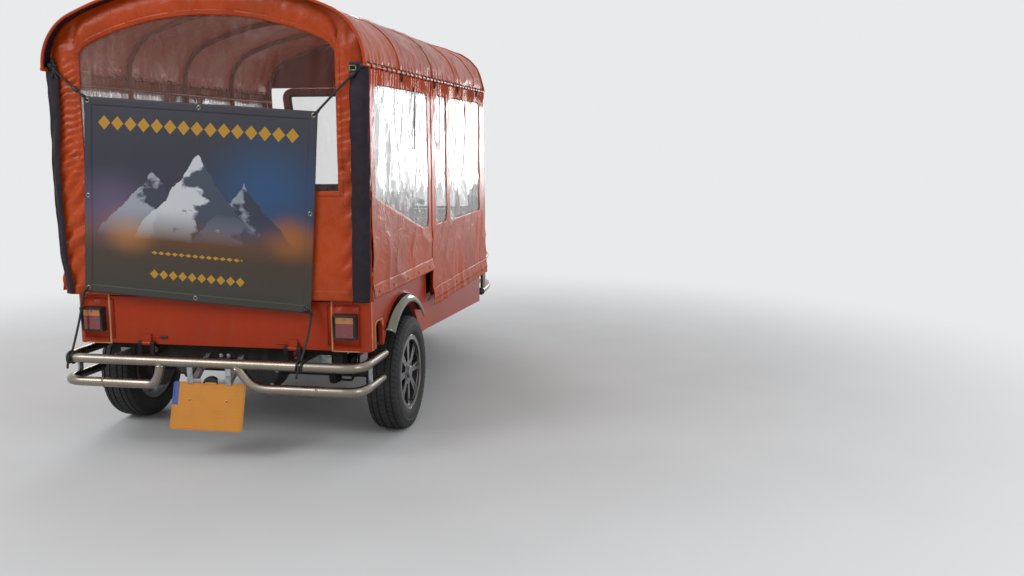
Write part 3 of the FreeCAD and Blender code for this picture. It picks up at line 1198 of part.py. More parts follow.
def driver_seat():
    base_z = TUNNEL_TOP_Z + SEAT
    pad = cushion(DRIVER_X, DRIVER_X + DRIVER_LENGTH, DRIVER_HALF_WIDTH, base_z, base_z + SEAT_PAD)
    back = cushion(DRIVER_X - BACK_THICKNESS - SEAT, DRIVER_X - SEAT, DRIVER_HALF_WIDTH,
                   base_z, base_z + SEAT_PAD + DRIVER_BACK_HEIGHT)
    return Part.makeCompound([pad, back])


# Steering parts
def front_fork():
    """Stem, crown and two legs, in the steering frame."""
    stem = rod(V(0, 0, HEAD_TUBE_LOW - SEAT - 10), V(0, 0, BAR_HEIGHT - BAR_RADIUS), STEM_RADIUS)
    crown_top = HEAD_TUBE_LOW - SEAT
    crown_half = FORK_HALF_WIDTH + FORK_LEG_RADIUS + 5
    crown = prism_z([(-34, -60), (AXLE_AHEAD + 34, -crown_half), (AXLE_AHEAD + 34, crown_half),
                     (-34, 60)], crown_top - CROWN_THICKNESS, crown_top, [16, 16, 16, 16])
    pieces = [stem, crown]
    for sign in (1, -1):
        foot = V(AXLE_AHEAD, sign * FORK_HALF_WIDTH, -AXLE_BELOW)
        pieces.append(rod(foot, V(foot.x, foot.y, crown_top - 4), FORK_LEG_RADIUS))
        pieces.append(rod(foot - V(0, 0, 30), foot + V(0, 0, 170), FORK_LEG_RADIUS + 6))
    clamp = box(-22, 22, -45, 45, BAR_HEIGHT - BAR_RADIUS - 26, BAR_HEIGHT - BAR_RADIUS - SEAT)
    return in_steering_frame(fused(pieces + [clamp]))


def front_axle_pin():
    return rod(V(WHEELBASE, -FORK_HALF_WIDTH, TYRE_RADIUS), V(WHEELBASE, FORK_HALF_WIDTH, TYRE_RADIUS), 10)


def handlebar():
    """Swept bar with two grips, in the steering frame."""
    route = [V(-BAR_SWEEP, GRIP_Y, BAR_HEIGHT), V(0, 130, BAR_HEIGHT), V(0, -130, BAR_HEIGHT),
             V(-BAR_SWEEP, -GRIP_Y, BAR_HEIGHT)]
    bar = tube(route, 90, BAR_RADIUS)
    pieces = [bar]
    for end, inner in ((route[0], route[1]), (route[3], route[2])):
        inward = (inner - end).normalize()
        pieces.append(rod(end - inward * 4, end + inward * GRIP_LENGTH, GRIP_RADIUS))
    return in_steering_frame(fused(pieces))


def front_mudguard():
    """Rolled strip over the front wheel, on stays to the fork legs."""
    centre = V(WHEELBASE, 0, TYRE_RADIUS)
    high = MUDGUARD_RADIUS + MUDGUARD_THICKNESS
    half = MUDGUARD_HALF_WIDTH
    lip = MUDGUARD_RADIUS - MUDGUARD_LIP
    inside = half - MUDGUARD_THICKNESS
    section = [(lip, -half), (high, -half), (high, half), (lip, half), (lip, inside),
               (MUDGUARD_RADIUS, inside), (MUDGUARD_RADIUS, -inside), (lip, -inside)]
    guard = turned(section, [0] * 8, centre, V(0, -1, 0), MUDGUARD_SWEEP_DEG)
    guard.rotate(centre, V(0, 1, 0), -MUDGUARD_START_DEG)
    lug_z = MUDGUARD_RADIUS - AXLE_BELOW - 20
    lug_y = FORK_HALF_WIDTH - FORK_LEG_RADIUS - SEAT
    lug = box(AXLE_AHEAD - 14, AXLE_AHEAD + 14, half - MUDGUARD_THICKNESS, lug_y, lug_z - 14, lug_z + 14)
    lugs = in_steering_frame(both_sides(lug))
    return fused([guard] + lugs.Solids)


def wheel_hub(centre, half_gap):
    """Hub barrel between the fork legs, bored for the axle."""
    hub = rod(centre - V(0, half_gap, 0), centre + V(0, half_gap, 0), 34)
    return hub.cut(rod(centre - V(0, half_gap + 1, 0), centre + V(0, half_gap + 1, 0),
                       10 + HINGE_RUNNING_GAP))


# Assembly
def build():
    rear_left = V(0, REAR_WHEEL_Y, TYRE_RADIUS)
    rear_right = V(0, -REAR_WHEEL_Y, TYRE_RADIUS)
    front = V(WHEELBASE, 0, TYRE_RADIUS)
    front_rim = fused([rim(front, 1), wheel_hub(front, FORK_HALF_WIDTH - FORK_LEG_RADIUS - 6 - 2)])
    front_rim = front_rim.cut(rod(front - V(0, 200, 0), front + V(0, 200, 0), 10 + HINGE_RUNNING_GAP))
    quarter = quarter_panel()
    side_rear = side_curtain("rear")
    side_front = side_curtain("front")
    lamp_high = LAMP_LOW_Z + LAMP_HEIGHT - LAMP_RIM - SEAT
    split = lamp_high - AMBER_SHARE_HEIGHT
    return {
        "chassis_frame": chassis_frame(),
        "floor_pan": floor_pan(),
        "quarter_panel_left": quarter,
        "quarter_panel_right": mirrored(quarter),
        "sills": both_sides(sill()),
        "rear_header": rear_header(),
        "tailgate": tailgate(),
        "arch_trims": both_sides(arch_trim()),
        "lamp_housings": both_sides(lamp_housing()),
        "lamp_lenses_amber": both_sides(lamp_lens(split + SEAT, lamp_high)),
        "lamp_lenses_red": both_sides(lamp_lens(LAMP_LOW_Z + LAMP_RIM + SEAT, split)),
        "rear_bumper": rear_bumper(),
        "rear_brackets": rear_brackets(),
        "number_plate": number_plate(),
        "canopy_frame": canopy_frame(),
        "roof_canopy": roof_canopy(),
        "rear_curtain": rear_curtain(),
        "side_curtains_rear": both_sides(side_rear),
        "side_curtains_front": both_sides(side_front),
        "curtain_windows": curtain_windows(),
        "banner": banner(),
        "banner_ties": banner_ties(),
        "windscreen_frame": windscreen_frame(),
        "windscreen_glass": windscreen_glass(),
        "front_cowl": front_cowl(),
        "headlamps": headlamps(),
        "front_bumper": front_bumper(),
        "mirrors": mirrors(),
        "dashboard": dashboard(),
        "driver_seat": driver_seat(),
        "bench_front": bench(FRONT_BENCH_X, FRONT_BENCH_LENGTH, FRONT_BENCH_Z,
                             FLOOR_Z + SEAT + FLOOR_THICKNESS, False, FRONT_BASE_HALF_WIDTH),
        "bench_rear": bench(REAR_BENCH_X, REAR_BENCH_LENGTH, REAR_BENCH_Z,
                            BODY_BOTTOM_Z + SEAT + FLOOR_THICKNESS, True, REAR_BASE_HALF_WIDTH),
        "engine": engine(),
        "exhaust": exhaust(),
        "rear_axle": rear_axle(),
        "leaf_springs": both_sides(leaf_spring()),
        "front_fork": fused([front_fork(), front_axle_pin()]),
        "handlebar": handlebar(),
        "front_mudguard": front_mudguard(),
        "front_tyre": tyre(front, FRONT_TYRE_WIDTH),
        "front_rim": front_rim,
        "rear_tyre_left": tyre(rear_left, TYRE_WIDTH),
        "rear_rim_left": rim(rear_left, 1),
        "rear_tyre_right": tyre(rear_right, TYRE_WIDTH),
        "rear_rim_right": rim(rear_right, -1),
    }


FRONT_END_X = FRONT_BUMPER_X + BUMPER_RADIUS
REAR_END_X = PLATE_TOP_X - PLATE_HEIGHT * math.sin(math.radians(PLATE_TILT_DEG))
MIDDLE_X = (FRONT_END_X + REAR_END_X) / 2

os.makedirs("parts", exist_ok=True)
for name, shape in build().items():
    shape.translate(V(-MIDDLE_X, 0, 0))
    solids = len(shape.Solids)
    bounds = shape.BoundBox
    print(name, solids, shape.isValid(), round(shape.Volume / 1e6, 3),
          [round(v) for v in (bounds.XMin, bounds.XMax, bounds.YMin, bounds.YMax, bounds.ZMin, bounds.ZMax)])
    shape.exportStep("parts/" + name + ".step")
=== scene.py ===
# Looks of an auto rickshaw, built round its fixed frame. Metres: +X forward, +Y left, +Z up.
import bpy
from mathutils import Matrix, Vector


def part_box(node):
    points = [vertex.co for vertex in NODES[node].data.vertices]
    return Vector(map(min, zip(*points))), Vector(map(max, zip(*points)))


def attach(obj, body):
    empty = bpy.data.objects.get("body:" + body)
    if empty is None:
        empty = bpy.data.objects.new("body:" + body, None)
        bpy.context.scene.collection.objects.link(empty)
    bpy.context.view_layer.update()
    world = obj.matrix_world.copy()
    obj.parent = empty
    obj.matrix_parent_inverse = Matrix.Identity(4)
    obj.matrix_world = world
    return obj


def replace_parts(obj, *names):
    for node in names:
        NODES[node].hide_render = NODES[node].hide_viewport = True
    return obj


bl_info = {
    "name": "Auto rickshaw",
    "version": (1, 0, 0),
    "blender": (4, 5, 0),
    "location": "3D View > Sidebar > Rickshaw",
    "description": "Builds the looks of an auto rickshaw round its fixed frame",
    "category": "Object",
}

import math

import bmesh
import bpy
from bpy.props import FloatProperty, FloatVectorProperty, IntProperty, PointerProperty
from mathutils import Matrix, Vector, noise

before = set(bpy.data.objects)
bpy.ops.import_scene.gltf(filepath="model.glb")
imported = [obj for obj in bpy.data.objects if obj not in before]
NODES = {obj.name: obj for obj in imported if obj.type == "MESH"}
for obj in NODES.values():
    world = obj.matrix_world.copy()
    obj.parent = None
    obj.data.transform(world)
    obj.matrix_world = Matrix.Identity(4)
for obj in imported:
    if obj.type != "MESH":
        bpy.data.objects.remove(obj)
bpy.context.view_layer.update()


def middle(node):
    low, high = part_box(node)
    return (low + high) / 2


REAR_AXLE = middle("rear_rim_left").x
ROOF_LOW, ROOF_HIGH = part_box("roof_canopy")
REAR_LOW, REAR_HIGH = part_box("rear_curtain")
EAVE = ROOF_LOW.z
HALF = ROOF_HIGH.y
MM = 0.001
FULL_TURN = 2 * math.pi
HOOPS = [REAR_AXLE + (-474 + 560.03 * i) * MM for i in range(5)]
STEER_RAKE = math.radians(24.0)
SCREEN_LEAN = math.radians(14.4)
AHEAD, BACK = (1, 0, 0), (-1, 0, 0)
SIDES = (1, -1)
HANDS = ((1, "left"), (-1, "right"))
REAR_WINDOW_HALF, REAR_WINDOW_SILL = 0.587, 1.175
SIDE_WINDOW_SILL, SIDE_WINDOW_HEAD = 0.950, 1.620
SIDE_PANE_Y, STRAP_Y = 0.7295, 0.7345
HEM_BAND, HEM_FLARE = 0.062, 0.008
BANNER_Y, BANNER_Z = 0.053, 1.113
BUMPER_RADIUS = 21.2
CUSHION_HEIGHT = 0.11


# Small tools
def spot(x, y, z):
    """Point from millimetres ahead of the rear axle, left of the middle and above the road."""
    return Vector((REAR_AXLE + x * MM, y * MM, z * MM))


def placed(x, y, z):
    """Matrix that moves a part to such a point."""
    return Matrix.Translation(spot(x, y, z))


def stand(point, facing=(0, 0, 1)):
    """Matrix that seats a part at a point with its +Z along facing."""
    return Matrix.Translation(point) @ Vector(facing).to_track_quat("Z", "Y").to_matrix().to_4x4()


def lying(x, y, z, facing):
    """The same from millimetres, as spot takes them."""
    return stand(spot(x, y, z), facing)


def clamp(value, low=0.0, high=1.0):
    return min(max(value, low), high)


def ease(value):
    """0 to 1 with soft ends."""
    value = clamp(value)
    return value * value * (3 - 2 * value)


def along(stops, at):
    """Value at a place between (place, value) stops."""
    for (a, low), (b, high) in zip(stops, stops[1:]):
        if at <= b:
            return low + (high - low) * ease((at - a) / (b - a))
    return stops[-1][1]


def wave(x, y, z=0.0):
    return noise.noise(Vector((x, y, z)))


def ridge(x, y, z=0.0):
    """Crest lines of a crumpled sheet, 1 on a crest."""
    return (1 - min(1.0, 2.6 * abs(wave(x, y, z)))) ** 2


def linear(code):
    """Linear colour of an sRGB hex value."""
    parts = [int(code[i:i + 2], 16) / 255 for i in (0, 2, 4)]
    return [p / 12.92 if p <= 0.04045 else ((p + 0.055) / 1.055) ** 2.4 for p in parts] + [1.0]


def shade(colour, by):
    """The colour made darker, below 1, or lighter."""
    return [c * by for c in colour[:3]] + [1.0]


def per(mm):
    """Scale of a pattern whose features lie this many millimetres apart."""
    return 1000.0 / mm


def put(tree, kind, sockets=None, stops=None, **fields):
    """Adds a node with its fields, its colour stops, and its sockets filled or linked."""
    made = tree.nodes.new(kind)
    for name, value in fields.items():
        setattr(made, name, value)
    if stops:
        points = made.color_ramp.elements
        while len(points) < len(stops):
            points.new(1.0)
        for point, (position, colour) in zip(points, stops):
            point.position = position
            point.color = (*colour[:3], 1.0)
    for socket, value in (sockets or {}).items():
        if isinstance(value, bpy.types.NodeSocket):
            tree.links.new(value, made.inputs[socket])
        else:
            made.inputs[socket].default_value = value
    return made


def begin(name, **fixed):
    """A new material with its tree, its shader and its object coordinates; fixed sets shader sockets."""
    material = bpy.data.materials.new(name)
    material.use_nodes = True
    tree = material.node_tree
    shader = tree.nodes["Principled BSDF"]
    for socket, value in fixed.items():
        shader.inputs[socket.replace("_", " ")].default_value = value
    place = put(tree, "ShaderNodeTexCoord").outputs["Object"]
    return material, tree, shader, place


def wire(tree, shader, **sockets):
    """Links what it is given into the shader's sockets."""
    for socket, value in sockets.items():
        tree.links.new(value, shader.inputs[socket.replace("_", " ")])


def build(name, mesh, finish, body="body", smooth=40.0):
    """Makes a mesh an object that rides on a body, with its finish's material."""
    data = bpy.data.meshes.new(name)
    mesh.to_mesh(data)
    mesh.free()
    data.polygons.foreach_set("use_smooth", [True] * len(data.polygons))
    data.set_sharp_from_angle(angle=math.radians(smooth))
    piece = bpy.data.objects.new(name, data)
    bpy.context.scene.collection.objects.link(piece)
    data.materials.append(finishes()[finish])
    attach(piece, body)
    return piece


def thicken(piece, thickness):
    """Gives a sheet its wall, half of it to each side."""
    wall = piece.modifiers.new("Wall", "SOLIDIFY")
    wall.thickness = thickness
    wall.offset = 0.0
    return piece


def line(name, runs, radius, finish, body="body", closed=False, fine=False):
    """Round beads, welts, cords or tubes drawn smoothly along runs of points; fine is for thick tubes."""
    curve = bpy.data.curves.new(name, "CURVE")
    curve.dimensions = "3D"
    curve.bevel_depth = radius
    curve.bevel_resolution = 8 if fine else 2
    curve.use_fill_caps = True
    curve.resolution_u = 10 if fine else 3
    for run in runs:
        spline = curve.splines.new("NURBS")
        spline.points.add(len(run) - 1)
        for point, place in zip(spline.points, run):
            point.co = (*place, 1.0)
        spline.order_u = 3
        spline.use_endpoint_u = not closed
        spline.use_cyclic_u = closed
    piece = bpy.data.objects.new(name, curve)
    bpy.context.scene.collection.objects.link(piece)
    curve.materials.append(finishes()[finish])
    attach(piece, body)
    return piece


def spun(profile, steps=16, closed=False):
    """A part turned about +Z from (height, radius) pairs, seated at the origin."""
    mesh = bmesh.new()
    corners = [mesh.verts.new((r * MM, 0, h * MM)) for h, r in profile]
    pairs = list(zip(corners, corners[1:])) + ([(corners[-1], corners[0])] if closed else [])
    edges = [mesh.edges.new(pair) for pair in pairs]
    bmesh.ops.spin(mesh, geom=corners + edges, cent=(0, 0, 0), axis=(0, 0, 1), angle=FULL_TURN,
                   steps=steps, use_merge=True)
    bmesh.ops.remove_doubles(mesh, verts=mesh.verts, dist=0.005 * MM)
    bmesh.ops.recalc_face_normals(mesh, faces=mesh.faces)
    return mesh


def block(size, radius, segments=2):
    """A block of this size in millimetres with rounded edges, started from a cube at the origin."""
    mesh = bmesh.new()
    bmesh.ops.create_cube(mesh, size=1.0)
    bmesh.ops.scale(mesh, vec=Vector(size) * MM, verts=mesh.verts)
    bmesh.ops.bevel(mesh, geom=mesh.edges[:], offset=radius * MM, segments=segments, affect="EDGES",
                    profile=0.5, material=-1)
    return mesh


def plate(across, high, corner):
    """A flat plate facing -X with rounded corners, in millimetres, centred at the origin."""
    mesh = bmesh.new()
    bmesh.ops.create_grid(mesh, x_segments=1, y_segments=1, size=0.5)
    bmesh.ops.scale(mesh, vec=Vector((high, across, 1)) * MM, verts=mesh.verts)
    bmesh.ops.rotate(mesh, cent=(0, 0, 0), matrix=Matrix.Rotation(-math.pi / 2, 3, "Y"), verts=mesh.verts)
    bmesh.ops.bevel(mesh, geom=mesh.verts[:], offset=corner * MM, segments=5, affect="VERTICES",
                    profile=0.5, material=-1)
    return mesh


def ring(across, high, corner, band):
    """The rim of a plate, this many millimetres wide."""
    mesh = plate(across, high, corner)
    inner = mesh.faces[:]
    bmesh.ops.inset_region(mesh, faces=inner, thickness=band * MM, use_boundary=True, use_even_offset=True)
    bmesh.ops.delete(mesh, geom=inner, context="FACES")
    return mesh


def scatter(name, part, places, finish, body="body", smooth=40.0):
    """One piece from copies of a small part, one for each matrix."""
    pattern = bpy.data.meshes.new("pattern")
    part.to_mesh(pattern)
    part.free()
    mesh = bmesh.new()
    for place in places:
        start = len(mesh.verts)
        mesh.from_mesh(pattern)
        mesh.verts.ensure_lookup_table()
        bmesh.ops.transform(mesh, matrix=place, verts=mesh.verts[start:])
    bpy.data.meshes.remove(pattern)
    return build(name, mesh, finish, body, smooth)


# Heads of small fasteners, as (height, radius) pairs for spun
BOLT = [(0, 0), (0, 9.5), (1.6, 9.5), (1.6, 7.6), (6.2, 7.6), (7.0, 6.6), (7.0, 0)]
STUD = [(0, 0), (0, 6.5), (0.8, 6.8), (2.4, 5.6), (3.0, 3.4), (2.6, 2.2), (2.6, 0)]
SCREW = [(0, 0), (0, 5.0), (1.2, 4.4), (1.9, 2.6), (1.9, 1.2), (0.8, 1.0), (0.8, 0)]


# Canopy's cross-section
def canopy_arcs():
    """Height of the crown's centre, place of the corner's centre, and the angle at which the two arcs meet."""
    look = bpy.context.scene.rickshaw_sizes
    corner_y = HALF - look.corner_radius
    crown_z = ROOF_HIGH.z - look.crown_radius
    corner_z = crown_z + math.sqrt((look.crown_radius - look.corner_radius) ** 2 - corner_y ** 2)
    return look, crown_z, corner_y, corner_z, math.atan2(corner_z - crown_z, corner_y)


def hoop(share, inset=0.0):
    """Point and outward direction across the canopy: 0 at the right eave, 1 at the left one."""
    look, crown_z, corner_y, corner_z, turn = canopy_arcs()
    skirt = corner_z - EAVE
    corner = look.corner_radius * turn
    top = look.crown_radius * (math.pi / 2 - turn)
    total = skirt + corner + top
    side = 1 if share > 0.5 else -1
    run = (1 - abs(2 * share - 1)) * total
    if run < skirt:
        y, z, a = HALF - inset, EAVE + run, 0.0
    elif run < skirt + corner:
        a = (run - skirt) / look.corner_radius
        y = corner_y + (look.corner_radius - inset) * math.cos(a)
        z = corner_z + (look.corner_radius - inset) * math.sin(a)
    else:
        a = turn + (run - skirt - corner) / look.crown_radius
        y = (look.crown_radius - inset) * math.cos(a)
        z = crown_z + (look.crown_radius - inset) * math.sin(a)
    return side * y, z, side * math.cos(a), math.sin(a)


def hoop_length():
    points = [Vector(hoop(i / 400)[:2]) for i in range(401)]
    return sum((b - a).length for a, b in zip(points, points[1:]))


def arch_height(y, inset):
    """Height of the canopy's inner line at y, inset from its outside."""
    look, crown_z, corner_y, corner_z, turn = canopy_arcs()
    y = abs(y)
    crown = look.crown_radius - inset
    if y <= crown * math.cos(turn):
        return crown_z + math.sqrt(crown ** 2 - y ** 2)
    corner = look.corner_radius - inset
    return corner_z + math.sqrt(max(corner ** 2 - (y - corner_y) ** 2, 0.0))


def flat_sheet(columns, rows, place):
    """A grid whose corners place(u, v) sets, with a map of its flat size."""
    mesh = bmesh.new()
    mesh.loops.layers.uv.new("Flat")
    bmesh.ops.create_grid(mesh, x_segments=columns, y_segments=rows, size=0.5, calc_uvs=True)
    for corner in mesh.verts:
        corner.co = Vector(place(corner.co.x + 0.5, corner.co.y + 0.5))
    return mesh


def cut(mesh, distance, cell, keep_inside=False):
    """Cuts a sheet along the line where distance(point) is 0, after drawing close corners onto it."""
    step = 0.5 * MM
    for corner in mesh.verts:
        d = distance(corner.co)
        if abs(d) < 0.55 * cell:
            slope = Vector([
                (distance(corner.co + axis * step) - d) / step
                for axis in (Vector((1, 0, 0)), Vector((0, 1, 0)), Vector((0, 0, 1)))
            ])
            if slope.length > 0.1:
                corner.co -= slope * d / slope.length_squared
    sign = -1 if keep_inside else 1
    gone = [f for f in mesh.faces if sign * distance(f.calc_center_median()) < 0]
    bmesh.ops.delete(mesh, geom=gone, context="FACES")


def rounded(a, b, low_a, high_a, low_b, high_b, radius):
    """Signed distance from a rounded rectangle, negative inside."""
    x = abs(a - (low_a + high_a) / 2) - (high_a - low_a) / 2 + radius
    y = abs(b - (low_b + high_b) / 2) - (high_b - low_b) / 2 + radius
    return math.hypot(max(x, 0), max(y, 0)) + min(max(x, y), 0) - radius


# Materials
def enamel(name, colour, roughness, coat):
    """Sprayed enamel on pressed steel: faint orange peel, road dust low down, a few chips to the primer."""
    material, tree, shader, place = begin(name, Coat_Weight=coat, Coat_Roughness=0.06, Specular_IOR_Level=0.14)
    blot = put(tree, "ShaderNodeTexNoise", {"Vector": place, "Scale": per(330), "Detail": 6.0}).outputs["Fac"]
    tone = put(tree, "ShaderNodeValToRGB", {"Fac": blot},
               stops=[(0.3, shade(colour, 0.86)), (0.7, colour)]).outputs["Color"]
    height = put(tree, "ShaderNodeSeparateXYZ", {"Vector": place}).outputs["Z"]
    low = put(tree, "ShaderNodeMapRange", {"Value": height, "From Min": 0.25, "From Max": 0.75,
                                           "To Min": 0.24, "To Max": 0.04}).outputs["Result"]
    speck = put(tree, "ShaderNodeTexNoise", {"Vector": place, "Scale": per(25), "Detail": 8.0}).outputs["Fac"]
    run = put(tree, "ShaderNodeMapping", {"Vector": place, "Scale": (per(30), per(30), per(500))}).outputs[0]
    streak = put(tree, "ShaderNodeTexNoise", {"Vector": run, "Scale": 1.0, "Detail": 4.0}).outputs["Fac"]
    dirt = put(tree, "ShaderNodeMath", {0: speck, 1: streak}, operation="MULTIPLY").outputs[0]
    amount = put(tree, "ShaderNodeMath", {0: low, 1: dirt}, operation="MULTIPLY").outputs[0]
    amount = put(tree, "ShaderNodeMath", {0: amount, 1: 1.7}, operation="MULTIPLY", use_clamp=True).outputs[0]
    dusty = put(tree, "ShaderNodeMix", {"Factor": amount, "A": tone, "B": linear("7F7264")},
                data_type="RGBA").outputs["Result"]
    cell = put(tree, "ShaderNodeTexVoronoi", {"Vector": place, "Scale": per(70)}).outputs["Distance"]
    chip = put(tree, "ShaderNodeMath", {0: cell, 1: 0.035}, operation="LESS_THAN").outputs[0]
    worn = put(tree, "ShaderNodeMix", {"Factor": chip, "A": dusty, "B": linear("4A423C")},
               data_type="RGBA").outputs["Result"]
    rough = put(tree, "ShaderNodeMapRange", {"Value": amount, "To Min": roughness,
                                             "To Max": roughness + 0.45}).outputs["Result"]
    # Orange peel is about 3 mm across on the real panel, and is drawn so
    peel = put(tree, "ShaderNodeTexNoise", {"Vector": place, "Scale": per(3), "Detail": 1.0}).outputs["Fac"]
    bump = put(tree, "ShaderNodeBump", {"Height": peel, "Strength": 0.06, "Distance": 0.0004})
    wire(tree, shader, Base_Color=worn, Roughness=rough, Normal=bump.outputs["Normal"])
    return material


def metal(name, colour, roughness, grain_mm, depth, stretch=12.0):
    """Bare metal: fine drawn grain, uneven shine and a few darker stains."""
    material, tree, shader, place = begin(name, Metallic=1.0)
    size = per(grain_mm)
    long = put(tree, "ShaderNodeMapping", {"Vector": place, "Scale": (size, size, size / stretch)}).outputs[0]
    lines = put(tree, "ShaderNodeTexNoise", {"Vector": long, "Scale": 1.0, "Detail": 3.0}).outputs["Fac"]
    blot = put(tree, "ShaderNodeTexNoise", {"Vector": place, "Scale": per(110), "Detail": 6.0}).outputs["Fac"]
    tone = put(tree, "ShaderNodeValToRGB", {"Fac": blot},
               stops=[(0.28, shade(colour, 0.82)), (0.62, colour)]).outputs["Color"]
    mixed = put(tree, "ShaderNodeMath", {0: lines, 1: blot}, operation="ADD").outputs[0]
    rough = put(tree, "ShaderNodeMapRange", {"Value": mixed, "From Min": 0.6, "From Max": 1.4,
                                             "To Min": roughness * 1.4, "To Max": roughness * 0.7})
    bump = put(tree, "ShaderNodeBump", {"Height": lines, "Strength": 0.12, "Distance": depth})
    wire(tree, shader, Base_Color=tone, Roughness=rough.outputs["Result"], Normal=bump.outputs["Normal"])
    return material


def galvanised():
    """Hot-dip zinc: dull crystals about 14 mm across, each with its own grey."""
    material, tree, shader, place = begin("Galvanised steel", Metallic=1.0)
    cell = put(tree, "ShaderNodeTexVoronoi", {"Vector": place, "Scale": per(14)}).outputs["Color"]
    pick = put(tree, "ShaderNodeSeparateXYZ", {"Vector": cell}).outputs["X"]
    tone = put(tree, "ShaderNodeValToRGB", {"Fac": pick},
               stops=[(0.0, linear("8B8F92")), (1.0, linear("B4B8BA"))]).outputs["Color"]
    rough = put(tree, "ShaderNodeMapRange", {"Value": pick, "To Min": 0.34, "To Max": 0.55}).outputs["Result"]
    bump = put(tree, "ShaderNodeBump", {"Height": pick, "Strength": 0.15, "Distance": 0.0005})
    wire(tree, shader, Base_Color=tone, Roughness=rough, Normal=bump.outputs["Normal"])
    return material


def moulded(name, colour, roughness, grain_mm, strength):
    """Moulded plastic, rubber or sewn vinyl: a pebbled grain with dust in its hollows."""
    material, tree, shader, place = begin(name)
    grain = put(tree, "ShaderNodeTexVoronoi", {"Vector": place, "Scale": per(grain_mm)}).outputs["Distance"]
    blot = put(tree, "ShaderNodeTexNoise", {"Vector": place, "Scale": per(70), "Detail": 7.0}).outputs["Fac"]
    dull = [c * 1.5 + 0.014 for c in colour[:3]]
    tone = put(tree, "ShaderNodeValToRGB", {"Fac": blot}, stops=[(0.35, colour), (0.75, dull)]).outputs["Color"]
    rough = put(tree, "ShaderNodeMapRange", {"Value": blot, "To Min": roughness - 0.08,
                                             "To Max": roughness + 0.12}).outputs["Result"]
    bump = put(tree, "ShaderNodeBump", {"Height": grain, "Strength": strength, "Distance": 0.0005})
    wire(tree, shader, Base_Color=tone, Roughness=rough, Normal=bump.outputs["Normal"])
    return material


def coated_cloth(name, colour, roughness, crumple=1.0, glow=0.0):
    """PVC-coated polyester: a glossy skin with creases, over a weave that shows as fine bumps.

    glow is a painted glow: an emission in the cloth's colour that stands in for the daylight coming through the cloth
    to its inner side.
    """
    # Painted glow: the emission gives the cloth light of its own in place of daylight through it
    material, tree, shader, place = begin(name, Specular_IOR_Level=0.22, Coat_Weight=0.06, Coat_Roughness=0.1,
                                          Emission_Color=colour, Emission_Strength=glow)
    blot = put(tree, "ShaderNodeTexNoise", {"Vector": place, "Scale": per(420), "Detail": 8.0}).outputs["Fac"]
    tone = put(tree, "ShaderNodeValToRGB", {"Fac": blot},
               stops=[(0.3, shade(colour, 0.74)), (0.52, colour), (0.75, shade(colour, 1.12))]).outputs["Color"]
    crease = put(tree, "ShaderNodeTexNoise", {"Vector": place, "Scale": per(95), "Detail": 5.0,
                                              "Distortion": 1.4}).outputs["Fac"]
    # A crease is where the noise crosses its middle: a sharp fold line
    off = put(tree, "ShaderNodeMath", {0: crease, 1: 0.5}, operation="SUBTRACT").outputs[0]
    off = put(tree, "ShaderNodeMath", {0: off}, operation="ABSOLUTE").outputs[0]
    fold = put(tree, "ShaderNodeMapRange", {"Value": off, "From Max": 0.11, "To Min": 1.0,
                                            "To Max": 0.0}).outputs["Result"]
    worn = put(tree, "ShaderNodeMath", {0: fold, 1: 0.07 * crumple}, operation="MULTIPLY").outputs[0]
    faded = put(tree, "ShaderNodeMix", {"Factor": worn, "A": tone, "B": linear("D9A08A")},
                data_type="RGBA").outputs["Result"]
    # The real weave is 1.3 mm, too fine to show here, and is drawn at 2.6 mm
    weave = put(tree, "ShaderNodeTexVoronoi", {"Vector": place, "Scale": per(2.6)}).outputs["Distance"]
    first = put(tree, "ShaderNodeBump", {"Height": fold, "Strength": 0.3 * crumple, "Distance": 0.004})
    second = put(tree, "ShaderNodeBump", {"Height": crease, "Strength": 0.4 * crumple, "Distance": 0.008,
                                          "Normal": first.outputs["Normal"]})
    bump = put(tree, "ShaderNodeBump", {"Height": weave, "Strength": 0.08, "Distance": 0.0005,
                                        "Normal": second.outputs["Normal"]})
    height = put(tree, "ShaderNodeSeparateXYZ", {"Vector": place}).outputs["Z"]
    dusty = put(tree, "ShaderNodeMapRange", {"Value": height, "From Min": 0.6, "From Max": 1.3, "To Min": 0.16,
                                             "To Max": 0.0}).outputs["Result"]
    rough = put(tree, "ShaderNodeMapRange", {"Value": blot, "To Min": roughness, "To Max": roughness + 0.16})
    rough = put(tree, "ShaderNodeMath", {0: rough.outputs["Result"], 1: dusty}, operation="ADD").outputs[0]
    wire(tree, shader, Base_Color=faded, Normal=bump.outputs["Normal"], Roughness=rough)
    return material


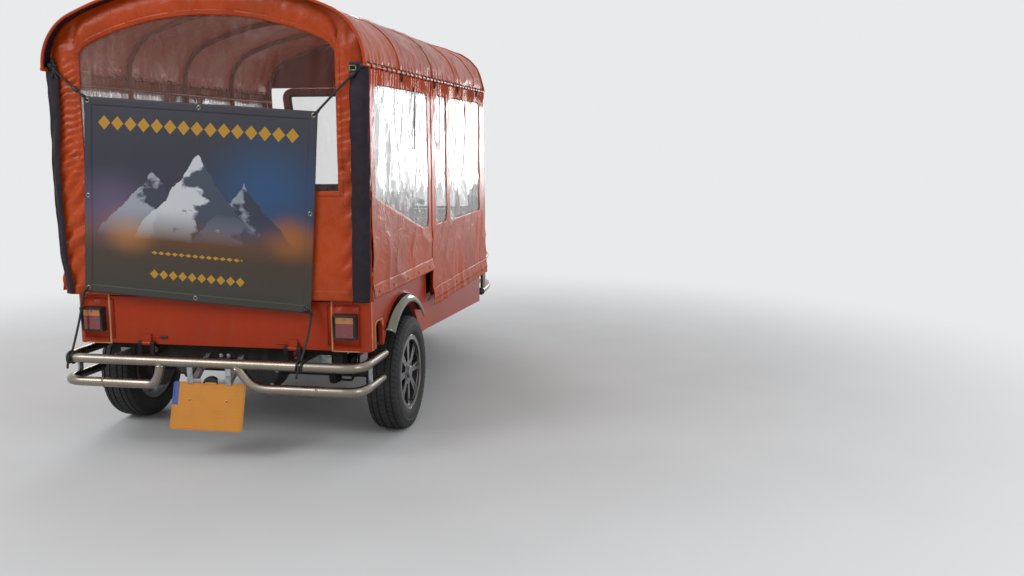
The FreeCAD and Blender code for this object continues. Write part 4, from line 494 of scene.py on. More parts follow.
def clear_film(name, colour, clear, glancing, crinkle, low_reflection=1.0):
    """Calendered soft clear sheet, nearly gone face on, with painted reflection: its pale colour turns opaque where it
    glances and along its crinkles.

    The last argument is how much of that painted reflection is left at the bottom of a side window; high up it stays in
    full.
    """
    material, tree, shader, place = begin(name, Base_Color=colour, Roughness=0.12, Coat_Weight=1.0,
                                          Coat_Roughness=0.04)
    long = put(tree, "ShaderNodeMapping", {"Vector": place, "Scale": (1.0, 1.0, 0.45)}).outputs[0]
    folds = put(tree, "ShaderNodeTexNoise", {"Vector": long, "Scale": per(130), "Detail": 6.0,
                                             "Distortion": 2.2}).outputs["Fac"]
    off = put(tree, "ShaderNodeMath", {0: folds, 1: 0.5}, operation="SUBTRACT").outputs[0]
    off = put(tree, "ShaderNodeMath", {0: off}, operation="ABSOLUTE").outputs[0]
    crest = put(tree, "ShaderNodeMapRange", {"Value": off, "From Max": 0.05, "To Min": 1.0,
                                             "To Max": 0.0}).outputs["Result"]
    patch = put(tree, "ShaderNodeTexNoise", {"Vector": place, "Scale": per(260), "Detail": 3.0}).outputs["Fac"]
    patch = put(tree, "ShaderNodeMapRange", {"Value": patch, "From Min": 0.45, "From Max": 0.7}).outputs["Result"]
    # Painted reflection: white streaks along the crests of the crinkles, in patches
    crinkle_glint = put(tree, "ShaderNodeMath", {0: crest, 1: patch}, operation="MULTIPLY").outputs[0]
    first = put(tree, "ShaderNodeBump", {"Height": folds, "Strength": 0.9, "Distance": crinkle})
    bump = put(tree, "ShaderNodeBump", {"Height": crest, "Strength": 0.5, "Distance": crinkle * 0.3,
                                        "Normal": first.outputs["Normal"]})
    # Painted reflection: the pale sheet turns opaque where it glances
    facing = put(tree, "ShaderNodeLayerWeight", {"Blend": 0.5, "Normal": bump.outputs["Normal"]}).outputs["Facing"]
    solid = put(tree, "ShaderNodeMapRange", {"Value": facing, "From Max": 0.75, "To Min": clear,
                                             "To Max": glancing}).outputs["Result"]
    # Painted reflection that fades towards the bottom of the window and stays in full high up
    height = put(tree, "ShaderNodeSeparateXYZ", {"Vector": place}).outputs["Z"]
    ragged = put(tree, "ShaderNodeMath", {0: folds, 1: 0.5, 2: height}, operation="MULTIPLY_ADD").outputs[0]
    reflection_by_height = put(tree, "ShaderNodeMapRange", {"Value": ragged, "From Min": 1.30, "From Max": 1.50,
                                             "To Min": low_reflection, "To Max": 1.0}).outputs["Result"]
    solid = put(tree, "ShaderNodeMath", {0: solid, 1: reflection_by_height}, operation="MULTIPLY").outputs[0]
    alpha = put(tree, "ShaderNodeMath", {0: crinkle_glint, 1: crinkle * 10, 2: solid}, operation="MULTIPLY_ADD",
                use_clamp=True).outputs[0]
    wire(tree, shader, Normal=bump.outputs["Normal"], Alpha=alpha)
    return material


def lens(name, colour, prism_mm):
    """Acrylic lamp lens: rows of small prisms behind a smooth shiny face."""
    material, tree, shader, place = begin(name, Roughness=0.12, Coat_Weight=1.0, Coat_Roughness=0.03)
    prism = put(tree, "ShaderNodeTexVoronoi", {"Vector": place, "Scale": per(prism_mm), "Randomness": 0.0},
                distance="CHEBYCHEV").outputs["Distance"]
    tone = put(tree, "ShaderNodeValToRGB", {"Fac": prism},
               stops=[(0.1, shade(colour, 0.5)), (0.6, colour)]).outputs["Color"]
    bump = put(tree, "ShaderNodeBump", {"Height": prism, "Strength": 0.5, "Distance": 0.002})
    wire(tree, shader, Base_Color=tone, Normal=bump.outputs["Normal"])
    return material


def plate_sheet():
    """Reflective sheet on pressed aluminium: yellow, a plain blue edge, and the sheet's 4 mm honeycomb."""
    material, tree, shader, place = begin("Plate reflective sheet", Coat_Weight=0.3, Roughness=0.38)
    cell = put(tree, "ShaderNodeTexVoronoi", {"Vector": place, "Scale": per(4), "Randomness": 0.5},
               feature="DISTANCE_TO_EDGE").outputs["Distance"]
    tone = put(tree, "ShaderNodeValToRGB", {"Fac": cell},
               stops=[(0.02, linear("C97E08")), (0.2, linear("D4860A"))]).outputs["Color"]
    side = put(tree, "ShaderNodeSeparateXYZ", {"Vector": place}).outputs
    blue = put(tree, "ShaderNodeMath", {0: side["Y"], 1: 0.141}, operation="GREATER_THAN").outputs[0]
    over = put(tree, "ShaderNodeMath", {0: side["Z"], 1: 0.237}, operation="GREATER_THAN").outputs[0]
    blue = put(tree, "ShaderNodeMath", {0: blue, 1: over}, operation="MULTIPLY").outputs[0]
    tone = put(tree, "ShaderNodeMix", {"Factor": blue, "A": tone, "B": linear("2F4E9C")},
               data_type="RGBA").outputs["Result"]
    grime = put(tree, "ShaderNodeTexNoise", {"Vector": place, "Scale": per(60), "Detail": 8.0}).outputs["Fac"]
    grime = put(tree, "ShaderNodeMapRange", {"Value": grime, "From Min": 0.45, "From Max": 0.8,
                                             "To Max": 0.3}).outputs["Result"]
    tone = put(tree, "ShaderNodeMix", {"Factor": grime, "A": tone, "B": linear("9A6A20")},
               data_type="RGBA").outputs["Result"]
    bump = put(tree, "ShaderNodeBump", {"Height": cell, "Strength": 0.1, "Distance": 0.0003})
    wire(tree, shader, Base_Color=tone, Normal=bump.outputs["Normal"])
    return material


def printed_cloth():
    """Matt printed banner: a plain dusk landscape with pale peaks between gold borders, on a fine weave."""
    material, tree, shader, place = begin("Printed banner cloth", Roughness=0.52, Specular_IOR_Level=0.35)
    flat = put(tree, "ShaderNodeUVMap", uv_map="Flat").outputs["UV"]
    split = put(tree, "ShaderNodeSeparateXYZ", {"Vector": flat})
    across, up = split.outputs["X"], split.outputs["Y"]
    tone = put(tree, "ShaderNodeValToRGB", {"Fac": up}, stops=[
        (0.0, linear("3B3A35")), (0.22, linear("45392F")), (0.36, linear("6E4526")), (0.46, linear("38374A")),
        (0.7, linear("33343F")), (1.0, linear("3A3A42"))]).outputs["Color"]
    for u, v, reach, colour in ((0.80, 0.60, 0.36, "2C5580"), (0.12, 0.44, 0.26, "6A5A78"),
                                (0.20, 0.34, 0.16, "B57A34"), (0.90, 0.37, 0.15, "A8642E")):
        away = put(tree, "ShaderNodeVectorMath", {0: flat, 1: (u, v, 0)}, operation="DISTANCE").outputs["Value"]
        glow = put(tree, "ShaderNodeMapRange", {"Value": away, "From Max": reach, "To Min": 0.8, "To Max": 0.0},
                   interpolation_type="SMOOTHSTEP").outputs["Result"]
        tone = put(tree, "ShaderNodeMix", {"Factor": glow, "A": tone, "B": linear(colour)},
                   data_type="RGBA").outputs["Result"]
    rock = put(tree, "ShaderNodeTexNoise", {"Vector": flat, "Scale": 9.0, "Detail": 6.0}).outputs["Fac"]
    for u, v, slope, bright, dark in ((0.70, 0.60, 1.25, "8E95A3", "333A49"), (0.30, 0.64, 1.3, "9BA0AC", "3A3F4E"),
                                      (0.50, 0.74, 1.55, "C9CDD3", "444B5B")):
        side = put(tree, "ShaderNodeMath", {0: across, 1: u}, operation="SUBTRACT").outputs[0]
        spread = put(tree, "ShaderNodeMath", {0: side}, operation="ABSOLUTE").outputs[0]
        edge = put(tree, "ShaderNodeMath", {0: rock, 1: 0.12, 2: up}, operation="MULTIPLY_ADD").outputs[0]
        fall = put(tree, "ShaderNodeMath", {0: spread, 1: slope, 2: edge}, operation="MULTIPLY_ADD").outputs[0]
        inside = put(tree, "ShaderNodeMath", {0: fall, 1: v + 0.06}, operation="LESS_THAN").outputs[0]
        lean = put(tree, "ShaderNodeMath", {0: rock, 1: 0.5, 2: side}, operation="MULTIPLY_ADD").outputs[0]
        lit = put(tree, "ShaderNodeMapRange", {"Value": lean, "From Min": 0.22, "From Max": 0.25}).outputs["Result"]
        facet = put(tree, "ShaderNodeMix", {"Factor": lit, "A": linear(bright), "B": linear(dark)},
                    data_type="RGBA").outputs["Result"]
        foot = put(tree, "ShaderNodeMapRange", {"Value": up, "From Min": 0.30, "From Max": 0.46}).outputs["Result"]
        share = put(tree, "ShaderNodeMath", {0: inside, 1: foot}, operation="MULTIPLY").outputs[0]
        tone = put(tree, "ShaderNodeMix", {"Factor": share, "A": tone, "B": facet},
                   data_type="RGBA").outputs["Result"]
    # Gold borders: rows of lozenges, (height, half height, pitch, left end, right end)
    for v, tall, pitch, first, last in ((0.875, 0.036, 0.058, 0.058, 0.928), (0.235, 0.010, 0.03, 0.30, 0.70),
                                        (0.125, 0.024, 0.042, 0.29, 0.71)):
        step = put(tree, "ShaderNodeMath", {0: across, 1: pitch}, operation="MODULO").outputs[0]
        step = put(tree, "ShaderNodeMath", {0: step, 1: pitch / 2}, operation="SUBTRACT").outputs[0]
        step = put(tree, "ShaderNodeMath", {0: step}, operation="ABSOLUTE").outputs[0]
        step = put(tree, "ShaderNodeMath", {0: step, 1: pitch * 0.46}, operation="DIVIDE").outputs[0]
        rise = put(tree, "ShaderNodeMath", {0: up, 1: v}, operation="SUBTRACT").outputs[0]
        rise = put(tree, "ShaderNodeMath", {0: rise}, operation="ABSOLUTE").outputs[0]
        total = put(tree, "ShaderNodeMath", {0: rise, 1: 1 / tall, 2: step}, operation="MULTIPLY_ADD").outputs[0]
        inside = put(tree, "ShaderNodeMath", {0: total, 1: 1.0}, operation="LESS_THAN").outputs[0]
        right = put(tree, "ShaderNodeMath", {0: across, 1: first}, operation="GREATER_THAN").outputs[0]
        left = put(tree, "ShaderNodeMath", {0: across, 1: last}, operation="LESS_THAN").outputs[0]
        inside = put(tree, "ShaderNodeMath", {0: inside, 1: right}, operation="MULTIPLY").outputs[0]
        inside = put(tree, "ShaderNodeMath", {0: inside, 1: left}, operation="MULTIPLY").outputs[0]
        tone = put(tree, "ShaderNodeMix", {"Factor": inside, "A": tone, "B": linear("B98A2E")},
                   data_type="RGBA").outputs["Result"]
    # The real threads are 1 mm apart and are drawn at 2.4 mm
    weave = put(tree, "ShaderNodeTexVoronoi", {"Vector": place, "Scale": per(2.4)}).outputs["Distance"]
    soft = put(tree, "ShaderNodeTexNoise", {"Vector": place, "Scale": per(160), "Detail": 3.0}).outputs["Fac"]
    first = put(tree, "ShaderNodeBump", {"Height": soft, "Strength": 0.4, "Distance": 0.008})
    bump = put(tree, "ShaderNodeBump", {"Height": weave, "Strength": 0.12, "Distance": 0.0004,
                                        "Normal": first.outputs["Normal"]})
    wire(tree, shader, Base_Color=tone, Normal=bump.outputs["Normal"])
    return material


MADE = {}


def finishes():
    """Every material by its finish, made once."""
    if MADE:
        return MADE
    look = bpy.context.scene.rickshaw_colours
    MADE.update(
        # Sprayed body enamel, deep orange red with a worn gloss
        red=enamel("Enamel orange red", [*look.body, 1.0], 0.3, 0.08),
        # Brushed-on chassis paint, nearly dull
        black=enamel("Chassis black satin", linear("151617"), 0.42, 0.05),
        # Rolled-on floor paint, flat and grey under its dust
        inner=enamel("Floor paint grey", linear("333436"), 0.5, 0.0),
        # Drawn stainless tube, satin, with bright soft highlights; its colour is darker than real stainless, painted
        # shade standing in for the dark surroundings it would mirror
        chrome=metal("Stainless tube satin", linear("968E82"), 0.27, 5.0, 0.00001),
        # Hot-dipped brackets, dull with grey crystals
        zinc=galvanised(),
        # Buffed stainless trim, with sharper highlights than the tubes; its darker colour is painted shade standing in
        # for the dark surroundings it would mirror
        bright=metal("Polished stainless trim", linear("7F7A6D"), 0.12, 9.0, 0.00001),
        # Sand-cast aluminium under lacquer, softly bright over a fine pebble
        alloy=metal("Cast aluminium lacquered", linear("97989A"), 0.3, 6.0, 0.0002, 1.0),
        # Bare rolled steel, dark and patchy
        steel=metal("Steel dull", linear("57544F"), 0.5, 12.0, 0.0006, 3.0),
        # Vulcanised rubber, nearly black, chalky where dust sits and grey where a kerb scraped it
        rubber=moulded("Tyre rubber", linear("19191A"), 0.66, 2.0, 0.25),
        worn=moulded("Tyre rubber scuffed", linear("4C4B49"), 0.7, 2.0, 0.25),
        # Injection-moulded plastic, a soft sheen over a fine grain
        plastic=moulded("Moulded black plastic", linear("141415"), 0.42, 1.6, 0.25),
        # Braided elastic cord, dull and finely ribbed
        elastic=moulded("Braided black elastic", linear("101011"), 0.6, 1.8, 0.5),
        # Sand-cast iron, dark and rough
        cast=moulded("Cast iron rough", linear("3B3A39"), 0.62, 3.4, 0.7),
        # Embossed vinyl, dark with a leathery sheen
        vinyl=moulded("Vinyl seat cover", linear("201D1C"), 0.4, 2.4, 0.35),
        # Sealant pressed into a joint, pale and dull; in the gate's gaps and up the body's corners it is partly a
        # painted highlight
        seal=moulded("Pale sealing bead", linear("C48A5E"), 0.5, 3.0, 0.3),
        # Coated polyester: a strong colour outside; red brown inside, with a painted glow standing in for the daylight
        # through it; dark and plain at the edges, also laid as painted shade in the rear corners and under the overhang
        cloth=coated_cloth("Coated canopy cloth", [*look.canopy, 1.0], 0.24, 0.65),
        lining=coated_cloth("Coated lining red brown painted glow", linear("A03C26"), 0.3, 0.8, 0.16),
        strip=coated_cloth("Dark coated edge cloth and painted shade", linear("1E1624"), 0.34, 0.15),
        # Calendered clear vinyl with a painted reflection where it glances and along its crinkles: nearly gone at the
        # rear, slightly hazy at the sides and whitened high up there
        film=clear_film("Clear soft sheet", linear("C9B2A6"), 0.01, 0.35, 0.003),
        side_film=clear_film("Clear soft sheet painted reflection", linear("F6F7F6"), 0.07, 0.95, 0.012, 0.35),
        # Laminated screen, faintly green, with the same painted reflection where it glances, and silvered glass, a hard
        # mirror
        glass=clear_film("Laminated glass", linear("DDE6E2"), 0.03, 0.5, 0.00001),
        mirror=metal("Silvered glass", linear("E4E6E8"), 0.03, 30.0, 0.00002, 1.0),
        # Banner print, matt and dark
        print=printed_cloth(),
        # Injection-moulded acrylic and pressed glass, wet gloss over small prisms
        amber=lens("Amber lens", linear("D9801A"), 6.0),
        ruby=lens("Red lens", linear("8E1313"), 6.0),
        lamp=lens("Pressed lamp glass", linear("C6CBCE"), 9.0),
        # Beaded reflective sheet, a flat strong yellow
        yellow=plate_sheet(),
    )
    return MADE


class RickshawSizes(bpy.types.PropertyGroup):
    crown_radius: FloatProperty(
        name="Crown radius", description="Radius of the canopy across its top", default=1.5, unit="LENGTH")
    corner_radius: FloatProperty(
        name="Corner radius", description="Radius of the canopy's upper corners", default=0.25, unit="LENGTH")
    roof_sag: FloatProperty(
        name="Roof sag", description="How far the roof cloth dips between two hoops",
        default=0.012, unit="LENGTH")
    cloth_cell: FloatProperty(
        name="Cloth cell", description="Size of one cell of a cloth sheet", default=0.0085, unit="LENGTH")
    roof_cell: FloatProperty(
        name="Roof cell", description="Size of one cell of the roof cloth", default=0.011, unit="LENGTH")
    film_lap: FloatProperty(
        name="Film lap", description="How far a clear pane runs under the cloth", default=0.022, unit="LENGTH")
    pad_voxel: FloatProperty(
        name="Pad voxel", description="Voxel size a seat pad is remeshed at", default=0.009, unit="LENGTH")
    tyre_pitches: IntProperty(
        name="Tread pitches", description="Tread blocks round one tyre", default=64)


class RickshawColours(bpy.types.PropertyGroup):
    body: FloatVectorProperty(
        name="Body", description="Enamel of the steel body", subtype="COLOR", default=linear("B4360C")[:3])
    canopy: FloatVectorProperty(
        name="Canopy", description="Coated cloth of roof and curtains", subtype="COLOR",
        default=linear("B8420C")[:3])
    backdrop: FloatVectorProperty(
        name="Backdrop", description="Pale floor and background", subtype="COLOR", default=linear("ECEDEE")[:3])


class RICKSHAW_OT_stage(bpy.types.Operator):
    """Makes the floor, the soft light and the camera"""
    bl_idname = "rickshaw.stage"
    bl_label = "Stage"

    def execute(self, context):
        scene = context.scene
        pale = [*scene.rickshaw_colours.backdrop, 1.0]
        material, tree, shader, place = begin("Pale screed floor", Roughness=0.75)
        speck = put(tree, "ShaderNodeTexNoise", {"Vector": place, "Scale": per(800), "Detail": 6.0}).outputs["Fac"]
        tone = put(tree, "ShaderNodeValToRGB", {"Fac": speck},
                   stops=[(0.3, shade(pale, 0.82)), (0.7, shade(pale, 0.88))]).outputs["Color"]
        wire(tree, shader, Base_Color=tone)
        world = bpy.data.worlds.new("Studio")
        scene.world = world
        world.use_nodes = True
        # What is seen or mirrored is nearly white, while the light on the vehicle stays at about half
        strength = {}
        for each in (tree, world.node_tree):
            path = put(each, "ShaderNodeLightPath").outputs
            shown = put(each, "ShaderNodeMath", {0: path["Is Camera Ray"], 1: path["Is Glossy Ray"]},
                        operation="MAXIMUM").outputs[0]
            shown = put(each, "ShaderNodeMath", {0: shown, 1: path["Is Transmission Ray"]},
                        operation="MAXIMUM").outputs[0]
            strength[each] = put(each, "ShaderNodeMapRange", {"Value": shown, "To Min": 0.52,
                                                              "To Max": 0.97}).outputs["Result"]
        back = world.node_tree.nodes["Background"]
        back.inputs["Color"].default_value = pale
        world.node_tree.links.new(strength[world.node_tree], back.inputs["Strength"])
        away = put(tree, "ShaderNodeVectorMath", {0: place}, operation="LENGTH").outputs["Value"]
        far = put(tree, "ShaderNodeMapRange", {"Value": away, "From Min": 1.9, "From Max": 5.0},
                  interpolation_type="SMOOTHSTEP").outputs["Result"]
        glow = put(tree, "ShaderNodeEmission", {"Color": pale, "Strength": strength[tree]}).outputs[0]
        blend = put(tree, "ShaderNodeMixShader", {0: far, 1: shader.outputs[0], 2: glow}).outputs[0]
        tree.links.new(blend, tree.nodes["Material Output"].inputs["Surface"])
        mesh = bmesh.new()
        bmesh.ops.create_grid(mesh, x_segments=2, y_segments=2, size=80.0)
        data = bpy.data.meshes.new("floor")
        mesh.to_mesh(data)
        mesh.free()
        data.materials.append(material)
        floor = bpy.data.objects.new("floor", data)
        scene.collection.objects.link(floor)

        # Soft lamps: place, aim, size in metres, watts and spread in degrees
        for name, place, aim, size, power, spread in (
            ("Key", (-5.5, 3.5, 5.0), (-0.6, 0, 1.0), 3.5, 175.0, 180.0),
            ("Fill", (-4.0, -6.0, 3.4), (-0.3, 0, 0.8), 3.0, 85.0, 180.0),
            ("Side", (5.6, -2.1, 1.52), (0.0, -0.73, 1.4), 1.3, 5.0, 60.0),
            ("Front", (6.0, 3.0, 4.5), (0.8, 0, 1.0), 3.0, 120.0, 180.0),
        ):
            lamp = bpy.data.lights.new(name, "AREA")
            lamp.energy, lamp.size, lamp.spread = power, size, math.radians(spread)
            light = bpy.data.objects.new(name, lamp)
            light.location = place
            light.rotation_euler = (Vector(aim) - Vector(place)).to_track_quat("-Z", "Y").to_euler()
            light.visible_camera = False
            scene.collection.objects.link(light)

        view = bpy.data.cameras.new("View")
        view.lens = 34.508
        view.sensor_width = 36.0
        view.clip_end = 300.0
        camera = bpy.data.objects.new("View", view)
        camera.location = (-5.4712, -2.0519, 1.3838)
        camera.rotation_euler = [math.radians(a) for a in (81.4916, 0.0680, -79.8287)]
        scene.collection.objects.link(camera)
        scene.camera = camera
        scene.view_settings.view_transform = "Standard"
        return {"FINISHED"}


class RICKSHAW_OT_finish_frame(bpy.types.Operator):
    """Gives every shown part of the frame its own finish"""
    bl_idname = "rickshaw.finish_frame"
    bl_label = "Frame finishes"

    def execute(self, context):
        made = finishes()
        for names, key in (
            ("chassis_frame front_fork", "black"),
            ("floor_pan", "inner"),
            ("quarter_panel_left quarter_panel_right sills rear_header tailgate windscreen_frame front_cowl "
             "front_mudguard canopy_frame", "red"),
            ("headlamps", "bright"), ("rear_brackets", "zinc"),
            ("lamp_housings mirrors dashboard", "plastic"),
            ("number_plate", "yellow"),
            ("lamp_lenses_amber", "amber"), ("lamp_lenses_red", "ruby"),
            ("front_rim rear_rim_left rear_rim_right", "alloy"),
            ("handlebar exhaust rear_axle leaf_springs", "steel"),
            ("engine", "cast"), ("windscreen_glass", "glass"),
        ):
            for name in names.split():
                data = NODES[name].data
                data.materials.clear()
                data.materials.append(made[key])
        return {"FINISHED"}


# Roof
def roof_point(x, share, lift=0.0):
    """Point on the roof cloth at a station, lifted outwards."""
    look = bpy.context.scene.rickshaw_sizes
    y, z, ny, nz = hoop(share, 0.003)
    girth = share * 2.4
    bay = (x - HOOPS[0]) / (HOOPS[1] - HOOPS[0])
    dip = look.roof_sag * math.sin(math.pi * bay) ** 2 if 0 < bay < 4 else 0.0
    dip *= 0.35 + 0.65 * nz
    dip += 0.003 * (1 + wave(x * 7, girth * 5))
    slack = ease((x - ROOF_LOW.x) / 0.05)
    dip -= slack * 0.0045 * ridge(x * 2.6 + girth * 1.7, girth * 5.2 - x, 2.0)
    dip -= slack * 0.0025 * ridge(x * 9 - girth * 4, girth * 9 + x * 3, 5.0)
    skirt = clamp(1 - (z - EAVE) / 0.09)
    dip -= 0.003 * skirt * math.sin(FULL_TURN * x / 0.055 + 2 * wave(x * 5, 1.0))
    lift -= dip
    return Vector((x, y + ny * lift, z + nz * lift))


ROOF_SEAMS = (-55, 542, 1058, 1560)


class RICKSHAW_OT_roof(bpy.types.Operator):
    """Stretches the roof cloth over its hoops, with its bands, rims, its lining with a painted glow, and a dark lining
    under the overhang that is partly painted shade
    """
    bl_idname = "rickshaw.roof"
    bl_label = "Roof cloth"

    def execute(self, context):
        look = context.scene.rickshaw_sizes
        low, high = ROOF_LOW, ROOF_HIGH
        length, girth = high.x - low.x, hoop_length()

        def stretched(name, start, end, lift, cell, finish, thickness):
            mesh = flat_sheet(max(3, round((end - start) / cell)), round(girth / cell),
                              lambda u, v: roof_point(start + u * (end - start), v, lift))
            bmesh.ops.recalc_face_normals(mesh, faces=mesh.faces)
            return thicken(build(name, mesh, finish), thickness)

        for number, station in enumerate(ROOF_SEAMS, 1):
            x = REAR_AXLE + station * MM
            stretched(f"roof_band_{number}", x - 0.021, x + 0.021, 0.0021, look.roof_cell, "cloth", 0.0016)
        for name, x in (("rear", low.x + 0.005), ("front", high.x - 0.005)):
            line(f"roof_piping_{name}", [[roof_point(x, i / 90, 0.002) for i in range(91)]], 0.0065,
                             "cloth")
        roof = stretched("roof_cloth", low.x + 0.002, high.x - 0.002, 0.0, look.roof_cell, "cloth", 0.0024)
        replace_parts(roof, "roof_canopy")
        # The dark lining under the rear overhang is partly painted shade; the roof's lining carries a painted glow
        # standing in for daylight through the cloth
        for name, start, end, finish in (("overhang_lining_painted_shade", low.x + 0.009, HOOPS[0] - 0.050, "strip"),
                                         ("roof_lining", HOOPS[0] - 0.040, high.x - 0.008, "lining")):
            inner = stretched(name, start, end, -0.0032, 0.02, finish, 0.0008)
        # Rolled eaves, the elastic laced round them and the loops that hold it
        rolls, lacing, loops = [], [], []
        for side in SIDES:
            y, z = side * (HALF - 0.002), EAVE + 0.007
            count = round(length / 0.03)
            rolls.append([Vector((low.x + 0.004 + (length - 0.008) * i / count, y + side * 0.002 * wave(i * 0.9, side),
                                  z + 0.002 * wave(i * 0.7, 3.0))) for i in range(count + 1)])
            turns = round(length / 0.075)
            run = []
            for i in range(turns * 10 + 1):
                a = FULL_TURN * i / 10
                x = low.x + 0.03 + (length - 0.06) * i / (turns * 10) + 0.016 * wave(i * 0.11, side)
                run.append(Vector((x, y + 0.0115 * math.cos(a), z + 0.0125 * math.sin(a))))
            lacing.append(run)
            for station in ROOF_SEAMS:
                x = REAR_AXLE + station * MM
                loops.append([Vector((x + 0.012 * math.sin(a), side * (HALF + 0.004), z - 0.016 + 0.027 * math.cos(a)))
                              for a in (FULL_TURN * i / 12 for i in range(12))])
        line("eave_rolls", rolls, 0.0095, "cloth")
        line("eave_lacing", lacing, 0.0019, "elastic")
        line("eave_loops", loops, 0.0028, "elastic", closed=True)
        return {"FINISHED"}


# Rear curtain
def rear_window(point, grow=0.0):
    """Signed distance from the rear window's outline, negative inside."""
    y, z = abs(point.y), point.z
    return max(y - REAR_WINDOW_HALF - grow, REAR_WINDOW_SILL - grow - z, z - arch_height(min(y, 0.6), 0.135 - grow))


def rear_folds(y, z):
    """How far the rear curtain stands out from its plane: crimped beside the window, slack below, full over it."""
    out = 0.0025 * wave(y * 7, z * 3.2) + 0.0015 * wave(y * 20, z * 7, 4.0)
    margin = ease((abs(y) - 0.580) / 0.035)
    hand = 1.0 if y > 0 else 2.6
    fine = along([(0.7, 0.1), (1.16, 0.2), (1.3, 1.0), (1.6, 1.0), (1.75, 0.2)], z)
    broad = along([(0.7, 1.0), (1.2, 0.9), (1.4, 0.15), (2.1, 0.1)], z)
    crimp = math.sin(FULL_TURN * (z + 0.25 * y + 0.012 * wave(y * 20, z * 8, hand)) / 0.031)
    out += margin * fine * 0.0035 * crimp * (1 + wave(y * 12, z * 16, hand))
    slant = math.sin(FULL_TURN * (z + y + 0.03 * wave(y * 8, z * 5, hand)) / 0.098)
    out += margin * broad * 0.009 * slant * (0.75 + wave(y * 6, z * 7, hand))
    out += margin * 0.003 * ridge(y * 15, z * 4, hand)
    if z > 1.5:
        band = clamp(rear_window(Vector((0, y, z))) / 0.125)
        turn = math.atan2(z - 1.2, y)
        out += 0.014 * math.sin(math.pi * band) * ease((z - 1.5) / 0.2)
        out += 0.003 * math.sin(math.pi * band) * wave(turn * 22, band * 2)
    return out


# Dark strips at the rear corners, partly dark binding and partly painted shade where the curtain turns the corner, as
# (height, middle, width) up each one
CORNER_BINDING_AND_SHADE = {
    "left": [(0.705, 0.690, 0.034), (0.90, 0.713, 0.036), (1.215, 0.722, 0.040), (1.523, 0.708, 0.052),
             (1.66, 0.712, 0.060), (1.745, 0.716, 0.040)],
    "right": [(0.700, -0.682, 0.080), (1.0, -0.690, 0.082), (1.4, -0.694, 0.084), (1.709, -0.698, 0.088)],
}


class RICKSHAW_OT_rear_curtain(bpy.types.Operator):
    """Hangs the rear curtain with its arched opening, welded bands, dark corner strips that are partly painted shade,
    and cord
    """
    bl_idname = "rickshaw.rear_curtain"
    bl_label = "Rear curtain"

    def execute(self, context):
        look = context.scene.rickshaw_sizes
        half = REAR_HIGH.y
        x = (REAR_LOW.x + REAR_HIGH.x) / 2
        hem = REAR_LOW.z
        height = REAR_HIGH.z - hem

        def hung(name, cell, distance, lift, thickness):
            mesh = flat_sheet(
                round(2 * half / cell), round(height / cell),
                lambda u, v: (x, (2 * u - 1) * half, hem + v * (arch_height((2 * u - 1) * half, 0.0065) - hem)))
            cut(mesh, distance, cell)
            for corner in mesh.verts:
                corner.co.x -= rear_folds(corner.co.y, corner.co.z) + lift
            area = sum(f.calc_area() for f in mesh.faces)
            return thicken(build(name, mesh, "cloth"), thickness), area

        trim = [
            hung("rear_window_welt", 0.0065, lambda p: 0.011 - abs(rear_window(p) - 0.0115), 0.0017, 0.0018)[0],
            hung("rear_hem_welt", look.cloth_cell, lambda p: hem + 0.045 - p.z, 0.0017, 0.0016)[0]]
        curtain, area = hung("rear_curtain_cloth", look.cloth_cell, rear_window, 0.0, 0.0018)
        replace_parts(curtain, "rear_curtain")
        for hand, stops in CORNER_BINDING_AND_SHADE.items():
            centres, widths = [(z, y) for z, y, w in stops], [(z, w) for z, y, w in stops]
            low, high = stops[0][0], stops[-1][0]

            def strip(u, v):
                z = low + v * (high - low)
                wide = along(widths, z) * (1 + 0.16 * wave(z * 13, u))
                y = along(centres, z) + (u - 0.5) * wide + 0.004 * wave(z * 7, 2.0)
                y = math.copysign(min(abs(y), 0.741), y)
                out = 0.009 + 0.004 * math.sin(u * 5) + 0.004 * wave(z * 9, u * 2, 1.0) + 0.0012 * wave(z * 30, u * 2)
                return x - 0.010 - out, y, z

            mesh = flat_sheet(10, round((high - low) / 0.007), strip)
            area = sum(f.calc_area() for f in mesh.faces)
            piece = thicken(build(f"corner_binding_and_shade_{hand}", mesh, "strip"), 0.0016)
        # Cord that draws the left strip together at the eave
        knot = [Vector((x - 0.022 - 0.008 * math.sin(i * 2.1), 0.700 + 0.026 * math.sin(i * 1.9 + 0.4),
                        1.722 - 0.0035 * i)) for i in range(14)]
        tails = [[Vector((x - 0.026, 0.700, 1.700)), Vector((x - 0.032, 0.690, 1.680)), Vector((x - 0.030, end, 1.655))]
                 for end in (0.676, 0.712)]
        line("strip_cord", [knot, *tails], 0.0026, "elastic")
        return {"FINISHED"}


# Rear and front end from the rear axle, and the curtain that each is cut in
SIDE_WINDOWS = ((-0.450, 0.410, "rear"), (0.560, 0.790, "front"), (0.870, 1.660, "front"))


def side_window(point, rear, front, grow=0.0):
    """Distance outside a side window's edge; the rearmost one is cut slantwise at its lower rear corner."""
    x = point.x - REAR_AXLE
    away = rounded(x, point.z, rear - grow, front + grow, SIDE_WINDOW_SILL - grow, SIDE_WINDOW_HEAD + grow,
                   0.045 + grow)
    if rear < 0:
        run = front - 0.10 - rear
        slant = (-0.20 * (x - rear) - run * (point.z - 1.15)) / math.hypot(run, 0.20) - grow
        away = max(away, slant)
    return away


